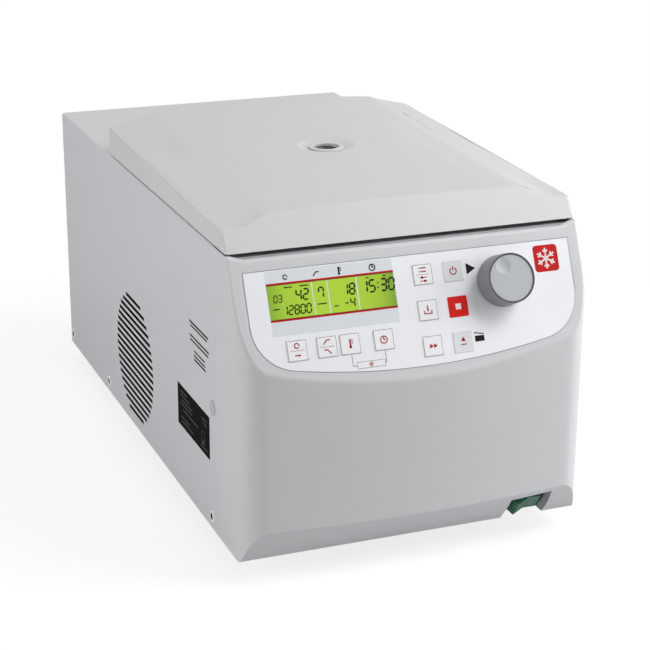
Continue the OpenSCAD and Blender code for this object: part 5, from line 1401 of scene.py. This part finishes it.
# Stage: pale floor, white surround and soft lamps
stageLook = {
    "floorSide": 14.0, "floorDrop": 0.0002, "floorTone": paint(226, 226, 227), "floorRough": 0.9,
    "floorShine": 0.1, "surround": 0.05,
    # Seen floor: share of its own light, glow that fills it up to white, and where it goes plain white
    "floorShare": 0.34, "floorGlow": 0.80, "whiteFrom": 0.30, "whiteAt": 0.75,
    # Lamp: place, aim, width, share of full light at the object
    "lamps": {
        "rightHigh": ((1.00, -0.90, 1.60), (0, -0.10, 0.20), 1.0, 0.57),
        "rightGraze": ((1.75, -0.50, 0.75), (0, -0.15, 0.15), 0.9, 0.28),
        "rightLow": ((1.60, -0.85, 0.45), (0, -0.15, 0.12), 0.9, 0.22),
        "leftSoft": ((-1.70, -0.25, 0.60), (0, 0, 0.15), 1.0, 0.43),
        "frontSoft": ((0.70, -2.00, 0.45), (0, -0.20, 0.15), 0.8, 0.035),
        "overhead": ((0.0, -0.10, 1.90), (0, 0, 0.20), 1.6, 0.15),
        "rearTop": ((-0.40, 1.30, 1.50), (0, 0, 0.20), 1.2, 0.11),
        "rearLow": ((0.0, 1.70, 0.125), (0, 0.27, 0.12), 0.2, 0.42),
    },
}


def buildStage(look):
    mesh = bmesh.new()
    bmesh.ops.create_grid(mesh, x_segments=1, y_segments=1, size=look["floorSide"] / 2,
                          matrix=Matrix.Translation((0, 0, cadBox[0][2] - look["floorDrop"])))
    data = bpy.data.meshes.new("paleFloor")
    mesh.to_mesh(data)
    mesh.free()
    floor = bpy.data.objects.new("paleFloor", data)
    bpy.context.scene.collection.objects.link(floor)
    material = bpy.data.materials.new("paleFloor")
    material.use_nodes = True
    tree = material.node_tree
    shader = tree.nodes["Principled BSDF"]
    shader.inputs["Base Color"].default_value = look["floorTone"]
    shader.inputs["Roughness"].default_value = look["floorRough"]
    shader.inputs["Specular IOR Level"].default_value = look["floorShine"]
    # To the camera, the floor is part lit and part glowing, and plain white away from the object
    ray = addNode(tree, "ShaderNodeLightPath")
    reach = addNode(tree, "ShaderNodeVectorMath", {"operation": "LENGTH"})
    far = addNode(tree, "ShaderNodeMapRange", {"interpolation_type": "SMOOTHSTEP"},
                  {"From Min": look["whiteFrom"], "From Max": look["whiteAt"]})
    lit = addNode(tree, "ShaderNodeMixShader", None, {"Fac": 1 - look["floorShare"]})
    dark = addNode(tree, "ShaderNodeEmission", None, {"Strength": 0})
    glow = addNode(tree, "ShaderNodeEmission", None, {"Strength": look["floorGlow"]})
    near = addNode(tree, "ShaderNodeAddShader")
    white = addNode(tree, "ShaderNodeEmission", None, {"Strength": 1})
    shown = addNode(tree, "ShaderNodeMixShader")
    both = addNode(tree, "ShaderNodeMixShader")
    place = addNode(tree, "ShaderNodeTexCoord").outputs["Object"]
    linkAll(tree, (place, reach.inputs[0]), (reach.outputs["Value"], far.inputs["Value"]),
            (shader.outputs[0], lit.inputs[1]), (dark.outputs[0], lit.inputs[2]),
            (lit.outputs[0], near.inputs[0]), (glow.outputs[0], near.inputs[1]),
            (far.outputs["Result"], shown.inputs["Fac"]), (near.outputs[0], shown.inputs[1]),
            (white.outputs[0], shown.inputs[2]), (ray.outputs["Is Camera Ray"], both.inputs["Fac"]),
            (shader.outputs[0], both.inputs[1]), (shown.outputs[0], both.inputs[2]),
            (both.outputs[0], tree.nodes["Material Output"].inputs["Surface"]))
    data.materials.append(material)

    world = bpy.data.worlds.new("whiteSurround")
    world.use_nodes = True
    bpy.context.scene.world = world
    sky = world.node_tree
    ground = sky.nodes["Background"]
    ray = addNode(sky, "ShaderNodeLightPath")
    seen = addNode(sky, "ShaderNodeMath", {"operation": "MAXIMUM"})
    shown = addNode(sky, "ShaderNodeMath", {"operation": "MAXIMUM"})
    level = addNode(sky, "ShaderNodeMapRange", None, {"To Min": look["surround"], "To Max": 1.0})
    linkAll(sky, (ray.outputs["Is Camera Ray"], seen.inputs[0]),
            (ray.outputs["Is Glossy Ray"], seen.inputs[1]), (seen.outputs[0], shown.inputs[0]),
            (ray.outputs["Is Transmission Ray"], shown.inputs[1]),
            (shown.outputs[0], level.inputs["Value"]), (level.outputs["Result"], ground.inputs["Strength"]))
    ground.inputs["Color"].default_value = (1, 1, 1, 1)

    for name, (place, target, width, share) in look["lamps"].items():
        lamp = bpy.data.lights.new(name, "AREA")
        lamp.shape = "DISK"
        lamp.size = width
        aim = Vector(place) - Vector(target)
        lamp.energy = share * math.pi ** 2 * aim.length_squared
        holder = bpy.data.objects.new(name, lamp)
        holder.rotation_euler = aim.to_track_quat("Z", "Y").to_euler()
        holder.location = place
        bpy.context.scene.collection.objects.link(holder)
    bpy.context.scene.view_settings.view_transform = "Standard"
    print("stage lit with", len(look["lamps"]), "lamps")


buildStage(stageLook)

bpy.context.view_layer.update()
